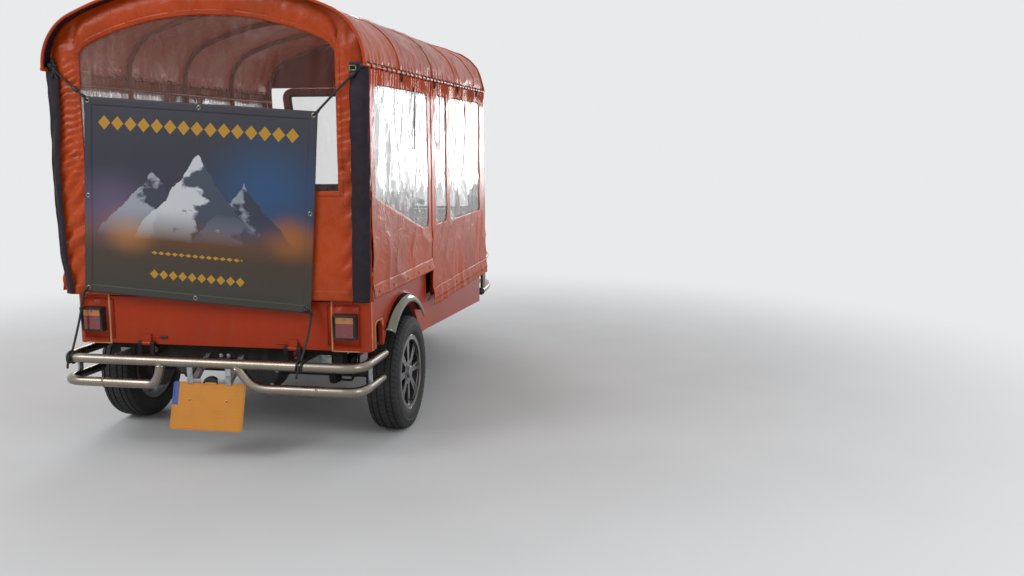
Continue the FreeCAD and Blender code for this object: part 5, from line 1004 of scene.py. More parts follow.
def side_folds(x, z, side):
    """How far a side curtain stands out from its plane: gathered at the eave, creased, and wavy at the hem."""
    x -= REAR_AXLE
    out = 0.003 * wave(x * 4 + side * 3, z * 5)
    top = ease((z - 1.56) / 0.11)
    out += top * 0.0062 * math.sin(FULL_TURN * x / 0.036 + 4 * wave(x * 8, z * 3)) * (0.7 + 0.9 * wave(x * 6, 7.0))
    low = ease((1.02 - z) / 0.12)
    mid = 1 - 0.5 * low
    out += (0.35 + 0.65 * low) * 0.0065 * ridge((x - z) * 4.2 + side, (x + z) * 1.6)
    out += mid * 0.0006 * ridge((x - z) * 13, (x + z) * 6 + side, 4.0)
    hem = clamp(1 - (z - 0.52) / 0.28)
    out += hem * 0.0018 * math.sin(FULL_TURN * x / 0.14 + 4 * wave(x * 5, side))
    return out - 0.002


class RICKSHAW_OT_side_curtains(bpy.types.Operator):
    """Hangs the four side curtains with their openings, hem bands, studs and roll straps"""
    bl_idname = "rickshaw.side_curtains"
    bl_label = "Side curtains"

    def execute(self, context):
        look = context.scene.rickshaw_sizes
        studs = []
        for node, where in (("side_curtains_rear", "rear"), ("side_curtains_front", "front")):
            low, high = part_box(node)
            length, height = high.x - low.x, high.z - low.z
            openings = [(a, b) for a, b, which in SIDE_WINDOWS if which == where]
            for side, hand in HANDS:
                def hung(name, cell, distances, lift, thickness):
                    def place(u, v):
                        z = low.z + v * height
                        # The front one leans back with the screen, and laps over the rear one
                        if where == "front":
                            rear, front, y = low.x - 0.016, high.x - 0.050 * v, high.y
                        else:
                            rear, front, y = low.x, high.x, high.y - 0.002
                        return rear + u * (front - rear), side * y, z

                    mesh = flat_sheet(round(length / cell), round(height / cell), place)
                    for distance in distances:
                        cut(mesh, distance, cell)
                    for corner in mesh.verts:
                        flare = HEM_FLARE * clamp(1 - (corner.co.z - foot) / HEM_BAND)
                        corner.co.y += side * (side_folds(corner.co.x, corner.co.z, side) + lift + flare)
                    bmesh.ops.recalc_face_normals(mesh, faces=mesh.faces)
                    area = sum(f.calc_area() for f in mesh.faces)
                    return thicken(build(name, mesh, "cloth"), thickness), area

                name = f"side_curtain_{where}_{hand}"
                foot = low.z + (0.030 if where == "front" else 0.0)
                trim = [hung(f"side_hem_{where}_{hand}", look.cloth_cell,
                             [lambda p: HEM_BAND / 2 - abs(p.z - foot - HEM_BAND / 2)], 0.0018, 0.0020)[0]]
                curtain, area = hung(name, look.cloth_cell,
                                     [lambda p, a=a, b=b: side_window(p, a, b) for a, b in openings], 0.0, 0.0016)
                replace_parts(curtain, node)
                for i in range(round(length / 0.21)):
                    sx = low.x + 0.07 + i * 0.21
                    sy = side * (high.y + side_folds(sx, foot + 0.023, side) + 0.0080)
                    studs.append(stand(Vector((sx, sy, foot + 0.023)), (0, side, 0)))
        scatter("curtain_studs", spun(STUD, 10), studs, "bright")
        # Straps that hold a rolled curtain: station, top, foot, width and finish
        for station, top, foot, wide, finish in (
            (650, 1.668, 1.335, 0.026, "cloth"), (165, 1.640, 1.345, 0.030, "strip"),
            (1265, 1.668, 1.350, 0.026, "cloth"),
        ):
            for side, hand in HANDS:
                px = REAR_AXLE + station * MM

                def strap(u, v):
                    z = foot + v * (top - foot)
                    sx = px + (u - 0.5) * wide + (v - 1) * 0.012
                    return sx, side * (STRAP_Y + max(side_folds(sx, z, side), 0.0) + 0.003 * math.sin(v * 3)), z

                mesh = flat_sheet(3, 34, strap)
                bmesh.ops.recalc_face_normals(mesh, faces=mesh.faces)
                piece = thicken(build(f"roll_strap_{station}_{hand}", mesh, finish), 0.0018)
        return {"FINISHED"}


class RICKSHAW_OT_clear_panes(bpy.types.Operator):
    """Welds the soft clear panes behind the openings"""
    bl_idname = "rickshaw.clear_panes"
    bl_label = "Clear panes"

    def execute(self, context):
        look = context.scene.rickshaw_sizes
        lap, cell = look.film_lap, look.cloth_cell
        x = REAR_HIGH.x + 0.0005
        half, low_z, high_z = REAR_WINDOW_HALF + lap, REAR_WINDOW_SILL - lap, 1.93
        mesh = flat_sheet(round(2 * half / cell), round((high_z - low_z) / cell),
                          lambda u, v: (x, (2 * u - 1) * half, low_z + v * (high_z - low_z)))
        cut(mesh, lambda p: rear_window(p, lap - 0.001), cell, keep_inside=True)
        for corner in mesh.verts:
            y, z = corner.co.y, corner.co.z
            inner = clamp(-rear_window(corner.co) / 0.05)
            corner.co.x -= rear_folds(y, z) + inner * (0.003 * wave(y * 4, z * 5, 8.0)
                                                       + 0.0007 * ridge(y * 5 + z * 2, z * 4 - y, 8.0))
        area = sum(f.calc_area() for f in mesh.faces)
        pane = thicken(build("rear_pane", mesh, "film"), 0.0006)
        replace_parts(pane, "curtain_windows")
        # The second layer that laps the pane at its left edge
        mesh = flat_sheet(8, 90, lambda u, v: (x + 0.004 + 0.002 * wave(v * 9, u), 0.600 - 0.062 * u, 1.16 + v * 0.53))
        flap = thicken(build("rear_pane_flap", mesh, "film"), 0.0006)
        for number, (rear, front, where) in enumerate(SIDE_WINDOWS, 1):
            for side, hand in HANDS:
                length, height = front - rear + 2 * lap, SIDE_WINDOW_HEAD - SIDE_WINDOW_SILL + 2 * lap
                mesh = flat_sheet(
                    round(length / cell), round(height / cell),
                    lambda u, v: (REAR_AXLE + rear - lap + u * length, side * SIDE_PANE_Y,
                                  SIDE_WINDOW_SILL - lap + v * height))
                cut(mesh, lambda p: side_window(p, rear, front, lap - 0.001), cell, keep_inside=True)
                for corner in mesh.verts:
                    px, z = corner.co.x, corner.co.z
                    inner = clamp(-side_window(corner.co, rear, front) / 0.06)
                    corner.co.y += side * (side_folds(px, z, side) + inner * (
                        0.007 * wave(px * 6, z * 3, 9.0) + 0.004 * ridge(px * 9, z * 3.4, side + 6)))
                bmesh.ops.recalc_face_normals(mesh, faces=mesh.faces)
                area = sum(f.calc_area() for f in mesh.faces)
                pane = thicken(build(f"side_pane_{number}_{hand}", mesh, "side_film"), 0.0006)
                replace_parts(pane, "curtain_windows")
        return {"FINISHED"}


BANNER_SIZE = (1.075, 0.866)
BANNER_TURN = math.radians(3.9)


def banner_point(a, b, out=0.0):
    """Point on the banner, a to its left of centre and b above it, standing out from its plane."""
    low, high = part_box("banner")
    out += 0.0035 * wave(a * 3.5, b * 1.2, 6.0) + 0.0015 * wave(a * 9, b * 3, 5.0)
    corner = ease((abs(a) - 0.42) / 0.12) * ease((abs(b) - 0.33) / 0.10)
    out += 0.006 * corner * (1 if a * b > 0 else -0.3)
    return Vector(((low.x + high.x) / 2 - out,
                   BANNER_Y + a * math.cos(BANNER_TURN) - b * math.sin(BANNER_TURN),
                   BANNER_Z + a * math.sin(BANNER_TURN) + b * math.cos(BANNER_TURN)))


class RICKSHAW_OT_banner(bpy.types.Operator):
    """Hangs the printed banner with its hem, eyelets, ties, toggles and buckle"""
    bl_idname = "rickshaw.banner"
    bl_label = "Banner"

    def execute(self, context):
        look = context.scene.rickshaw_sizes
        width, height = BANNER_SIZE

        def hung(name, cell, distance, out, thickness):
            mesh = flat_sheet(round(width / cell), round(height / cell),
                              lambda u, v: banner_point((0.5 - u) * width, (v - 0.5) * height, out))
            if distance:
                corners = {v: (v.co.y - BANNER_Y, v.co.z - BANNER_Z) for v in mesh.verts}
                c, s = math.cos(BANNER_TURN), math.sin(BANNER_TURN)
                gone = [f for f in mesh.faces if all(
                    abs(y * c + z * s) < width / 2 - distance and abs(z * c - y * s) < height / 2 - distance
                    for y, z in (corners[v] for v in f.verts))]
                bmesh.ops.delete(mesh, geom=gone, context="FACES")
            bmesh.ops.recalc_face_normals(mesh, faces=mesh.faces)
            return thicken(build(name, mesh, "print"), thickness)

        hem = hung("banner_hem", 0.0072, 0.030, 0.0008, 0.0007)
        places = []
        for a in (width / 2 - 0.018, 0.0, 0.018 - width / 2):
            for b in (height / 2 - 0.018, 0.0, 0.018 - height / 2):
                if a or b:
                    places.append(stand(banner_point(a, b, 0.0022), BACK))
        eyelet = spun([(-1.6, 5.2), (0.6, 5.2), (1.5, 6.6), (1.5, 8.6), (0.4, 10.6), (-1.6, 10.8)], 16, closed=True)
        rings = scatter("banner_eyelets", eyelet, places, "bright")
        banner = hung("banner_sheet", look.cloth_cell, 0, 0.0, 0.0008)
        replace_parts(banner, "banner")
        # Elastic ties from the corner eyelets to the canopy and the bumper, wrapped round its top tube
        runs, wraps = [], []
        for a, b, x, y, z in ((1, 1, -542, 714.4, 1714), (-1, 1, -542, -714.4, 1694),
                              (1, -1, -592, 664, 452), (-1, -1, -612, -432, 451)):
            at = banner_point(a * (width / 2 - 0.018), b * (height / 2 - 0.018))
            edge = banner_point(a * (width / 2 + 0.006), b * (height / 2 + 0.006))
            end = spot(x, y, z)
            side = (end - at).normalized().cross(Vector((1, 0, 0))) * 0.004
            runs.append([at + Vector((0.010, 0, 0)), at + Vector((-0.008, 0, 0)), edge + Vector((-0.006, 0, 0)),
                         edge.lerp(end, 0.35) + side, edge.lerp(end, 0.7) + side, end])
            wraps.append([at + Vector((0.010, 0, 0)), edge + Vector((0.008, 0, 0)), edge + Vector((-0.006, 0, 0))])
        for x, y in ((-599, 656), (-610, -432)):
            wraps.append([spot(x + 27 * math.cos(t), y + 3.2 * t - 16, 425 + 27 * math.sin(t))
                          for t in (i * 0.5 for i in range(24))])
            wraps.append([spot(x - 29, y + 4, 440), spot(x - 37, y - 3, 425), spot(x - 33, y + 9, 398),
                          spot(x - 30, y + 12, 380)])
        ties = line("tie_cords", runs, 0.0052, "elastic")
        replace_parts(ties, "banner_ties")
        line("tie_wraps", wraps, 0.0050, "elastic")
        toggle = spun([(-15, 0), (-15, 7), (-12, 9.5), (12, 9.5), (15, 7), (15, 0)], 20)
        left, right = runs[0], runs[1]
        knobs = [stand(left[3].lerp(left[2], 0.45), left[5] - left[2]),
                 stand(right[4].lerp(right[5], 0.3), right[5] - right[2])]
        scatter("tie_toggles", toggle, knobs, "plastic")
        ball = spun([(-13, 0), (-11, 7), (-5, 12), (0, 13), (5, 12), (11, 7), (13, 0)], 20)
        scatter("tie_balls", ball, [stand(left[5]), stand(right[5]),
                                    stand(banner_point(-width / 2 + 0.018, 0.018 - height / 2, 0.016))], "plastic")
        thicken(scatter("strap_buckle", ring(34, 24, 5, 5), [placed(-551, -674, 1684)], "bright"), 0.003)
        return {"FINISHED"}


# Rear details
class RICKSHAW_OT_rear_lamps(bpy.types.Operator):
    """Fits the lamp plates with their pressed edges, and the rims and screws of the lenses"""
    bl_idname = "rickshaw.rear_lamps"
    bl_label = "Rear lamps"

    def execute(self, context):
        places = [placed(-491.6, side * 586, 586) for side in SIDES]
        thicken(scatter("lamp_plates", plate(150, 184, 9), places, "red"), 0.0022)
        places = [placed(-493.4, side * 586, 586) for side in SIDES]
        thicken(scatter("lamp_plate_edges", ring(151, 185, 9, 2), places, "red"), 0.0022)
        places = [placed(-529.6, side * 600, 586) for side in SIDES]
        thicken(scatter("lamp_lens_rims", ring(88, 96, 5, 3), places, "plastic"), 0.002)
        scatter("lamp_screws", spun(SCREW, 10),
                [lying(-528.4, side * 600, z, BACK) for side in SIDES for z in (549, 623)], "bright")
        return {"FINISHED"}


class RICKSHAW_OT_seals(bpy.types.Operator):
    """Runs pale beads in the gate's side gaps, partly seal and partly painted highlight, and the beads along arches,
    slots and corners, those up the corners partly worn paint and partly painted highlight
    """
    bl_idname = "rickshaw.seals"
    bl_label = "Seals and beads"

    def execute(self, context):
        # Pale beads in the gate's side gaps: partly sealant, partly a painted highlight on the gaps' edges
        line("gate_seals_and_highlights", [[spot(-491.5, side * 531.5, z) for z in (472, 520, 600, 680, 714)] for side in SIDES],
             0.0046, "seal")
        # Edge beads of the flared arches, then sealing beads round the slots behind them, and pale beads up the corners
        # and along the quarters' lower edges that are partly worn paint and partly painted highlight
        arcs, slots = [], []
        for side in SIDES:
            arcs.append([spot(375 * math.cos(math.radians(a)), side * 701.5, 290 + 375 * math.sin(math.radians(a)))
                         for a in range(42, 139, 3)])
            slots.append([spot(x, side * 701, z) for x, z in (
                (-407, 474), (-407, 540), (-407, 588), (-401, 593), (-355, 593), (-309, 593), (-303, 588),
                (-303, 560))])
        line("arch_beads", arcs, 0.0032, "red")
        line("slot_beads", slots, 0.0026, "seal")
        line("corner_wear_and_highlight_beads", [[spot(-454, side * 700.6, z) for z in (474, 560, 680, 792)] for side in SIDES]
             + [[spot(-491.5, side * y, 473) for y in (536, 600, 655)] for side in SIDES], 0.0026, "seal")
        return {"FINISHED"}


class RICKSHAW_OT_arch_lips(bpy.types.Operator):
    """Rolls the lips of the arches, a quarter round that turns in towards the tyre"""
    bl_idname = "rickshaw.arch_lips"
    bl_label = "Arch lips"

    def execute(self, context):
        for side, hand in HANDS:
            def lip(u, v):
                a, t = math.radians(41 + 98 * u), math.radians(-4 + 112 * v)
                reach = 338 + 34 * math.cos(t)
                return spot(reach * math.cos(a), side * (700 + 44 * math.sin(t)), 290 + reach * math.sin(a))

            mesh = flat_sheet(64, 12, lip)
            bmesh.ops.recalc_face_normals(mesh, faces=mesh.faces)
            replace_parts(thicken(build(f"arch_lip_{hand}", mesh, "bright"), 0.0025), "arch_trims")
        return {"FINISHED"}


class RICKSHAW_OT_gate_latches(bpy.types.Operator):
    """Fits the dark slide latches on the gate, with their bars"""
    bl_idname = "rickshaw.gate_latches"
    bl_label = "Gate latches"

    def execute(self, context):
        knobs = [placed(-494, 270, 508), placed(-494, -360, 498)]
        scatter("gate_latches", block((8, 34, 12), 3), knobs, "plastic", "tailgate")
        bars = [placed(-492.6, 318, 508), placed(-492.6, -312, 498)]
        scatter("gate_latch_bars", block((5, 90, 5), 2), bars, "red", "tailgate")
        return {"FINISHED"}


class RICKSHAW_OT_number_plate(bpy.types.Operator):
    """Fits the number plate's border and screws, its bracket's turned feet and the round socket behind it"""
    bl_idname = "rickshaw.number_plate"
    bl_label = "Number plate"

    def execute(self, context):
        low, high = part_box("number_plate")
        tilt = Matrix.Translation((low + high) / 2) @ Matrix.Rotation(math.radians(17), 4, "Y")
        border = [tilt @ Matrix.Translation((-0.0014, 0, 0))]
        thicken(scatter("plate_border", ring(330, 200, 9, 3.2), border, "yellow"), 0.0012)
        scatter("plate_screws", spun(SCREW, 12),
                [tilt @ stand((-0.0010, y * MM, 0.026), BACK) for y in (88, -86)], "bright")
        for name, size, (x, y, z) in (("arms", (4, 27, 88), (-605, 90, 372)), ("feet", (4, 44, 16), (-603.5, 62, 344))):
            scatter(f"plate_bracket_{name}", block(size, 1.5), [placed(x, side * y, z) for side in SIDES], "zinc")
        socket = spun([(0, 0), (0, 40), (14, 40), (18, 37), (19, 30), (16, 28), (15, 12), (16, 0)], 32)
        scatter("socket", socket, [lying(-584, -4, 322, BACK)], "plastic")
        return {"FINISHED"}


class RICKSHAW_OT_rear_bumper(bpy.types.Operator):
    """Bends the bumper's top tube and two lower ones, with rounded ends, struts, weld beads and bolts"""
    bl_idname = "rickshaw.rear_bumper"
    bl_label = "Rear bumper"

    def execute(self, context):
        top = [spot(x, y, 425) for x, y in ((-283, 700), (-430, 700), (-610, 700), (-610, 520), (-610, 250), (-610, 0),
                                            (-610, -250), (-610, -520), (-610, -700), (-430, -700), (-283, -700))]
        left = [spot(x, y, z) for x, y, z in ((-321, 700, 320), (-430, 700, 320), (-610, 700, 320), (-610, 520, 320),
                                              (-610, 340, 320), (-610, 232, 320), (-610, 226, 425))]
        right = [spot(x, y, z) for x, y, z in ((-321, -700, 320), (-430, -700, 320), (-610, -700, 320),
                                               (-610, -520, 320), (-610, -360, 320), (-610, -225, 318),
                                               (-610, -168, 366), (-610, -130, 425))]
        tubes = line("bumper_tubes", [top, left, right], BUMPER_RADIUS * MM, "chrome", fine=True)
        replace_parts(tubes, "rear_bumper")
        end = spun([(0, 0), (0, BUMPER_RADIUS), (9, 19.4), (16, 14), (20.4, 6), (BUMPER_RADIUS, 0)], 32)
        places = [lying(x, side * 700, z, AHEAD) for side in SIDES for x, z in ((-284, 425), (-322, 320))]
        scatter("bumper_ends", end, places, "chrome")
        scatter("bumper_struts", block((30, 10, 105), 2), [placed(-485, side * 700, 372.5) for side in SIDES], "zinc")
        bead = spun([(-5, 20), (-5, 22), (0, 24.4), (5, 22), (5, 20)], 32, closed=True)
        places = [lying(-610, side * 503, 320, (0, 1, 0)) for side in SIDES]
        places += [lying(-610, y, 404, (0.0, lean, 1)) for y, lean in ((226, 0), (-140, -0.35))]
        scatter("bumper_welds", bead, places, "chrome")
        bolts = [lying(-446.6, side * 484, z, BACK) for side in SIDES for z in (414, 436)]
        bolts += [lying(-447, side * 18, 424, BACK) for side in SIDES]
        scatter("bracket_bolts", spun(BOLT, 12), bolts, "zinc")
        return {"FINISHED"}


class RICKSHAW_OT_reflectors(bpy.types.Operator):
    """Fits the round reflectors on the rear cross member"""
    bl_idname = "rickshaw.reflectors"
    bl_label = "Reflectors"

    def execute(self, context):
        rim = spun([(0, 22), (0, 27), (5, 27), (7, 25), (7, 22)], 28, closed=True)
        places = [lying(-446, side * 349, 436, BACK) for side in SIDES]
        scatter("reflector_rims", rim, places, "plastic")
        scatter("reflectors", spun([(0, 0), (0, 22.4), (4, 22.4), (5.4, 16), (6.4, 0)], 28), places, "ruby")
        return {"FINISHED"}


class RICKSHAW_OT_suspension(bpy.types.Operator):
    """Fits the shock absorbers, and the U-bolts that hold the springs to the axle"""
    bl_idname = "rickshaw.suspension"
    bl_label = "Suspension"

    def execute(self, context):
        tube, rod = [], []
        for side in SIDES:
            tube.append([spot(-78, side * 380, 232), spot(-104, side * 380, 300), spot(-130, side * 380, 366)])
            rod.append([spot(-128, side * 380, 360), spot(-140, side * 380, 392), spot(-152, side * 380, 424)])
        line("damper_tubes", tube, 0.024, "black")
        line("damper_rods", rod, 0.008, "zinc")
        eyes = [placed(x, side * y, z) for side in SIDES for x, y, z in ((-60, 380, 240), (-152, 366, 430))]
        scatter("damper_eyes", block((40, 52, 30), 8, 3), eyes, "steel")
        loops = []
        for side in SIDES:
            for x in (-46, 46):
                loops.append([spot(x, side * y, z) for y, z in (
                    (398, 345), (398, 290), (398, 244), (402, 232), (430, 230), (458, 232), (462, 244), (462, 290),
                    (462, 345))])
        line("spring_clamps", loops, 0.006, "steel")
        return {"FINISHED"}


# Front details
class RICKSHAW_OT_headlamps(bpy.types.Operator):
    """Fits the domed headlamp glass and its screws, and the indicators on the bumper"""
    bl_idname = "rickshaw.headlamps"
    bl_label = "Headlamps"

    def execute(self, context):
        dome = [(31, 0), (31, 79)] + [(math.sqrt(172 ** 2 - r ** 2) - 120, r) for r in (78, 66, 54, 42, 30, 18, 9, 0)]
        places = [lying(2350.3, side * 235, 715, AHEAD) for side in SIDES]
        scatter("headlamp_glass", spun(dome, 40), places, "lamp")
        scatter("headlamp_screws", spun(SCREW, 10),
                [lying(2376.5, side * 235 + 83 * math.cos(a), 715 + 83 * math.sin(a), AHEAD)
                 for side in SIDES for a in (math.pi / 2, math.radians(210), math.radians(330))], "bright")
        cases = [placed(2530, side * 230, 641) for side in SIDES]
        scatter("indicator_cases", block((44, 96, 50), 9, 3), cases, "plastic")
        lenses = [placed(2553, side * 230, 641) for side in SIDES]
        scatter("indicator_lenses", block((14, 84, 38), 6, 3), lenses, "amber")
        return {"FINISHED"}


class RICKSHAW_OT_front_bumper(bpy.types.Operator):
    """Bends the front bumper's tubes in towards the nose, with their mounting arms and ball caps"""
    bl_idname = "rickshaw.front_bumper"
    bl_label = "Front bumper"

    def execute(self, context):
        for name, radius, stops in (
            ("low", BUMPER_RADIUS, ((1890, 690, 385), (2120, 690, 385), (2330, 640, 385), (2480, 520, 385),
                                    (2570, 380, 385), (2570, 180, 385))),
            ("top", 17.2, ((1960, 690, 385), (1960, 690, 480), (1960, 689, 600), (2060, 688, 600),
                           (2280, 650, 600), (2440, 530, 600), (2530, 380, 600), (2530, 180, 600))),
        ):
            run = [spot(*stop) for stop in stops] + [spot(x, -y, z) for x, y, z in reversed(stops)]
            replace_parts(line(f"front_bumper_{name}", [run], radius * MM, "chrome", fine=True), "front_bumper")
        for name, size, round_off, (x, y, z) in (("arms", (40, 96, 12), 2, (1920, 640, 385)),
                                                 ("posts", (140, 30, 36), 3, (1870, 610, 397))):
            scatter(f"front_bumper_{name}", block(size, round_off), [placed(x, side * y, z) for side in SIDES], "black")
        ball = spun([(-26, 0), (-24, 11), (-14, 22), (0, 26), (14, 22), (24, 11), (26, 0)], 24)
        scatter("bumper_ball_caps", ball, [lying(1893, side * 690, 385, AHEAD) for side in SIDES], "plastic")
        return {"FINISHED"}


class RICKSHAW_OT_windscreen(bpy.types.Operator):
    """Fits the windscreen rubber and the wiper"""
    bl_idname = "rickshaw.windscreen"
    bl_label = "Windscreen"

    def execute(self, context):
        low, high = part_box("windscreen_glass")
        tilt = Matrix.Translation((low + high) / 2) @ Matrix.Rotation(-SCREEN_LEAN, 4, "Y")
        tilt = tilt @ Matrix.Scale(-1, 4, (1, 0, 0))
        wide, tall = (high.y - low.y) / MM, (high.z - low.z) / math.cos(SCREEN_LEAN) / MM
        rubber = ring(wide + 8, tall + 8, 34, 20)
        thicken(scatter("windscreen_rubber", rubber, [tilt], "elastic"), 0.018)
        run = [tilt @ (Vector((-12, y, z)) * MM) for y, z in ((60, 14 - tall / 2), (30, 120 - tall / 2),
                                                           (-120, 300 - tall / 2), (-190, 400 - tall / 2))]
        line("wiper_arm", [run], 0.0045, "plastic")
        blade = [tilt @ (Vector((-6, y, z)) * MM) for y, z in ((-20, 300 - tall / 2), (-190, 396 - tall / 2),
                                                             (-360, 490 - tall / 2))]
        line("wiper_blade", [blade], 0.0045, "elastic")
        return {"FINISHED"}


class RICKSHAW_OT_mirrors(bpy.types.Operator):
    """Fits the mirror glass with its pressed edge"""
    bl_idname = "rickshaw.mirrors"
    bl_label = "Mirrors"

    def execute(self, context):
        places = [placed(1904.4, side * 652, 1010) for side in SIDES]
        thicken(scatter("mirror_glass", plate(84, 139, 17), places, "mirror"), 0.0016)
        thicken(scatter("mirror_edges", ring(95, 150, 22, 6), places, "plastic"), 0.005)
        return {"FINISHED"}


class RICKSHAW_OT_handlebar(bpy.types.Operator):
    """Fits the grips and levers on the raked handlebar"""
    bl_idname = "rickshaw.handlebar"
    bl_label = "Handlebar"

    def execute(self, context):
        turn = placed(2160, 0, 274) @ Matrix.Rotation(-STEER_RAKE, 4, "Y")
        grips, levers = [], []
        for side in SIDES:
            grips.append(turn @ stand(Vector((-100, side * 290, 840)) * MM, (-0.40, side, 0)))
            levers.append([turn @ (Vector(p) * MM) for p in (
                (-52, side * 190, 838), (-20, side * 222, 832), (-30, side * 268, 826), (-66, side * 326, 824))])
        profile = [(-58, 15), (-58, 19)]
        for i in range(12):
            h = -52 + i * 9
            profile += [(h, 18.2), (h + 3, 18.2), (h + 4.5, 16.9), (h + 7.5, 16.9)]
        profile += [(60, 19), (63, 15)]
        scatter("grips", spun(profile, 20, closed=True), grips, "elastic", "steering")
        line("levers", levers, 0.0055, "bright", "steering")
        clamps = [turn @ Matrix.Translation(Vector((-56, side * 192, 840)) * MM) for side in SIDES]
        scatter("lever_clamps", block((34, 34, 30), 6), clamps, "plastic", "steering")
        return {"FINISHED"}


class RICKSHAW_OT_dashboard(bpy.types.Operator):
    """Fits the gauge and the knobs of the dashboard"""
    bl_idname = "rickshaw.dashboard"
    bl_label = "Dashboard"

    def execute(self, context):
        gauge = spun([(0, 0), (0, 46), (9, 46), (12, 43), (12, 39), (7, 37.5), (7, 0)], 36)
        places = [lying(1859.5, 220, 948, BACK)]
        scatter("gauge", gauge, places, "plastic")
        scatter("gauge_glass", spun([(7.4, 0), (7.4, 37), (8.6, 37), (9.4, 20), (9.8, 0)], 36), places, "lamp")
        knobs = [lying(1859.5, y, 912, BACK) for y in (-300, -250, -200, 320, 370)]
        scatter("dash_knobs", spun([(0, 0), (0, 11), (4, 11), (6, 8), (16, 9.5), (19, 7.5), (20, 0)], 16), knobs,
                "elastic")
        return {"FINISHED"}


class RICKSHAW_OT_front_trim(bpy.types.Operator):
    """Folds the hoods over the cowl's louvres and drives the screws along the sills"""
    bl_idname = "rickshaw.front_trim"
    bl_label = "Louvres and sills"

    def execute(self, context):
        tilt = Matrix.Rotation(math.radians(24), 4, "Y")
        slats = [placed(2352, 0, 722 + (number - 1.5) * 26) @ tilt for number in range(4)]
        scatter("louvre_hoods", block((10, 232, 3), 1.4), slats, "red")
        bolts = [lying(x, side * 700.3, 545, (0, side, 0)) for side in SIDES
                 for x in (500, 760, 1020, 1280, 1540, 1760)]
        scatter("sill_screws", spun(SCREW, 10), bolts, "bright")
        return {"FINISHED"}


# Engine and exhaust
class RICKSHAW_OT_running_gear(bpy.types.Operator):
    """Fits the engine's fins and sump, the silencer's bands and the axle's cover with their bolts"""
    bl_idname = "rickshaw.running_gear"
    bl_label = "Running gear"

    def execute(self, context):
        fins = [placed(985 + i * 27.5, side * 192, 470) for i in range(16) for side in SIDES]
        scatter("engine_fins", block((5, 16, 200), 2), fins, "cast")
        scatter("sump", block((420, 330, 40), 14, 3), [placed(1205, 0, 226)], "cast")
        bolts = [lying(x, y, 205.5, (0, 0, -1)) for x in (1020, 1130, 1280, 1390) for y in (-145, 145)]
        scatter("sump_bolts", spun(BOLT, 12), bolts, "zinc")
        band = spun([(-9, 54), (-9, 57), (-7, 58.5), (7, 58.5), (9, 57), (9, 54)], 36, closed=True)
        scatter("silencer_bands", band, [lying(x, 235, 372, AHEAD) for x in (-330, -225, -120)], "steel")
        cover = spun([(0, 0), (0, 96), (6, 96), (10, 90), (24, 70), (32, 40), (34, 0)], 32)
        scatter("drive_cover", cover, [lying(-92, 0, 274, BACK)], "cast")
        bolts = [lying(-98, 93 * math.cos(a), 274 + 93 * math.sin(a), BACK)
                 for a in (FULL_TURN * i / 8 for i in range(8))]
        scatter("drive_bolts", spun(BOLT, 12), bolts, "zinc")
        return {"FINISHED"}


def loose_boxes(node):
    """Boxes of a node's separate solids, lowest first."""
    mesh = bmesh.new()
    mesh.from_mesh(NODES[node].data)
    bmesh.ops.remove_doubles(mesh, verts=mesh.verts, dist=0.01 * MM)
    left, boxes = set(mesh.verts), []
    while left:
        group, edge = [], [left.pop()]
        while edge:
            corner = edge.pop()
            group.append(corner.co.copy())
            for link in corner.link_edges:
                other = link.other_vert(corner)
                if other in left:
                    left.remove(other)
                    edge.append(other)
        boxes.append([Vector([pick(p[i] for p in group) for i in range(3)]) for pick in (min, max)])
    mesh.free()
    return sorted(boxes, key=lambda b: (b[0].z, b[0].x))


def rounded_block(low, high, radius, segments=3):
    """A rounded block between two corners."""
    mesh = block((high - low) / MM, radius / MM, segments)
    bmesh.ops.translate(mesh, vec=(low + high) / 2, verts=mesh.verts)
    return mesh


def baked(piece):
    """Applies a piece's modifiers."""
    view = bpy.context.evaluated_depsgraph_get()
    mesh = bpy.data.meshes.new_from_object(piece.evaluated_get(view))
    old = piece.data
    piece.modifiers.clear()
    piece.data = mesh
    bpy.data.meshes.remove(old)


def stuffed(name, low, high, thin, channels):
    """A foam pad under sewn vinyl, swollen by a short cloth run; thin is its axis of thickness."""
    look = bpy.context.scene.rickshaw_sizes
    size = high - low
    shrink = Vector([0.012, 0.012, 0.012])
    shrink[thin] = 0.020
    mesh = rounded_block(low + shrink, high - shrink, 0.02)
    pad = build(name, mesh, "vinyl")
    remesh = pad.modifiers.new("Remesh", "REMESH")
    remesh.mode, remesh.voxel_size = "VOXEL", look.pad_voxel
    baked(pad)
    start = [v.co.copy() for v in pad.data.vertices]
    scene = bpy.context.scene
    cloth = pad.modifiers.new("Cloth", "CLOTH")
    cloth.settings.use_pressure = True
    cloth.settings.uniform_pressure_force = 4.0
    cloth.settings.effector_weights.gravity = 0.0
    cloth.settings.quality = 4
    for step in range(1, 21):
        scene.frame_set(step)
    baked(pad)
    scene.frame_set(1)
    centre = (low + high) / 2
    most = 0.026
    for corner, was in zip(pad.data.vertices, start):
        move = corner.co - was
        if move.length > most:
            corner.co = was + move * (most / move.length)
        for i in range(3):
            corner.co[i] = min(max(corner.co[i], low[i] - 0.004), high[i] + 0.004)
    smooth = pad.modifiers.new("Smooth", "SUBSURF")
    smooth.levels = smooth.render_levels = 1
    baked(pad)
    # Sewn channels, pressed in from the face
    pitch = size.y / channels
    for corner in pad.data.vertices:
        y = corner.co.y - low.y
        near = abs(y - pitch * round(y / pitch))
        inside = 0.03 < y < size.y - 0.03
        if inside and near < 0.02:
            press = 0.009 * (1 - near / 0.02) ** 2
            corner.co[thin] -= press * math.copysign(1, corner.co[thin] - centre[thin])
    pad.data.polygons.foreach_set("use_smooth", [True] * len(pad.data.polygons))
    return pad


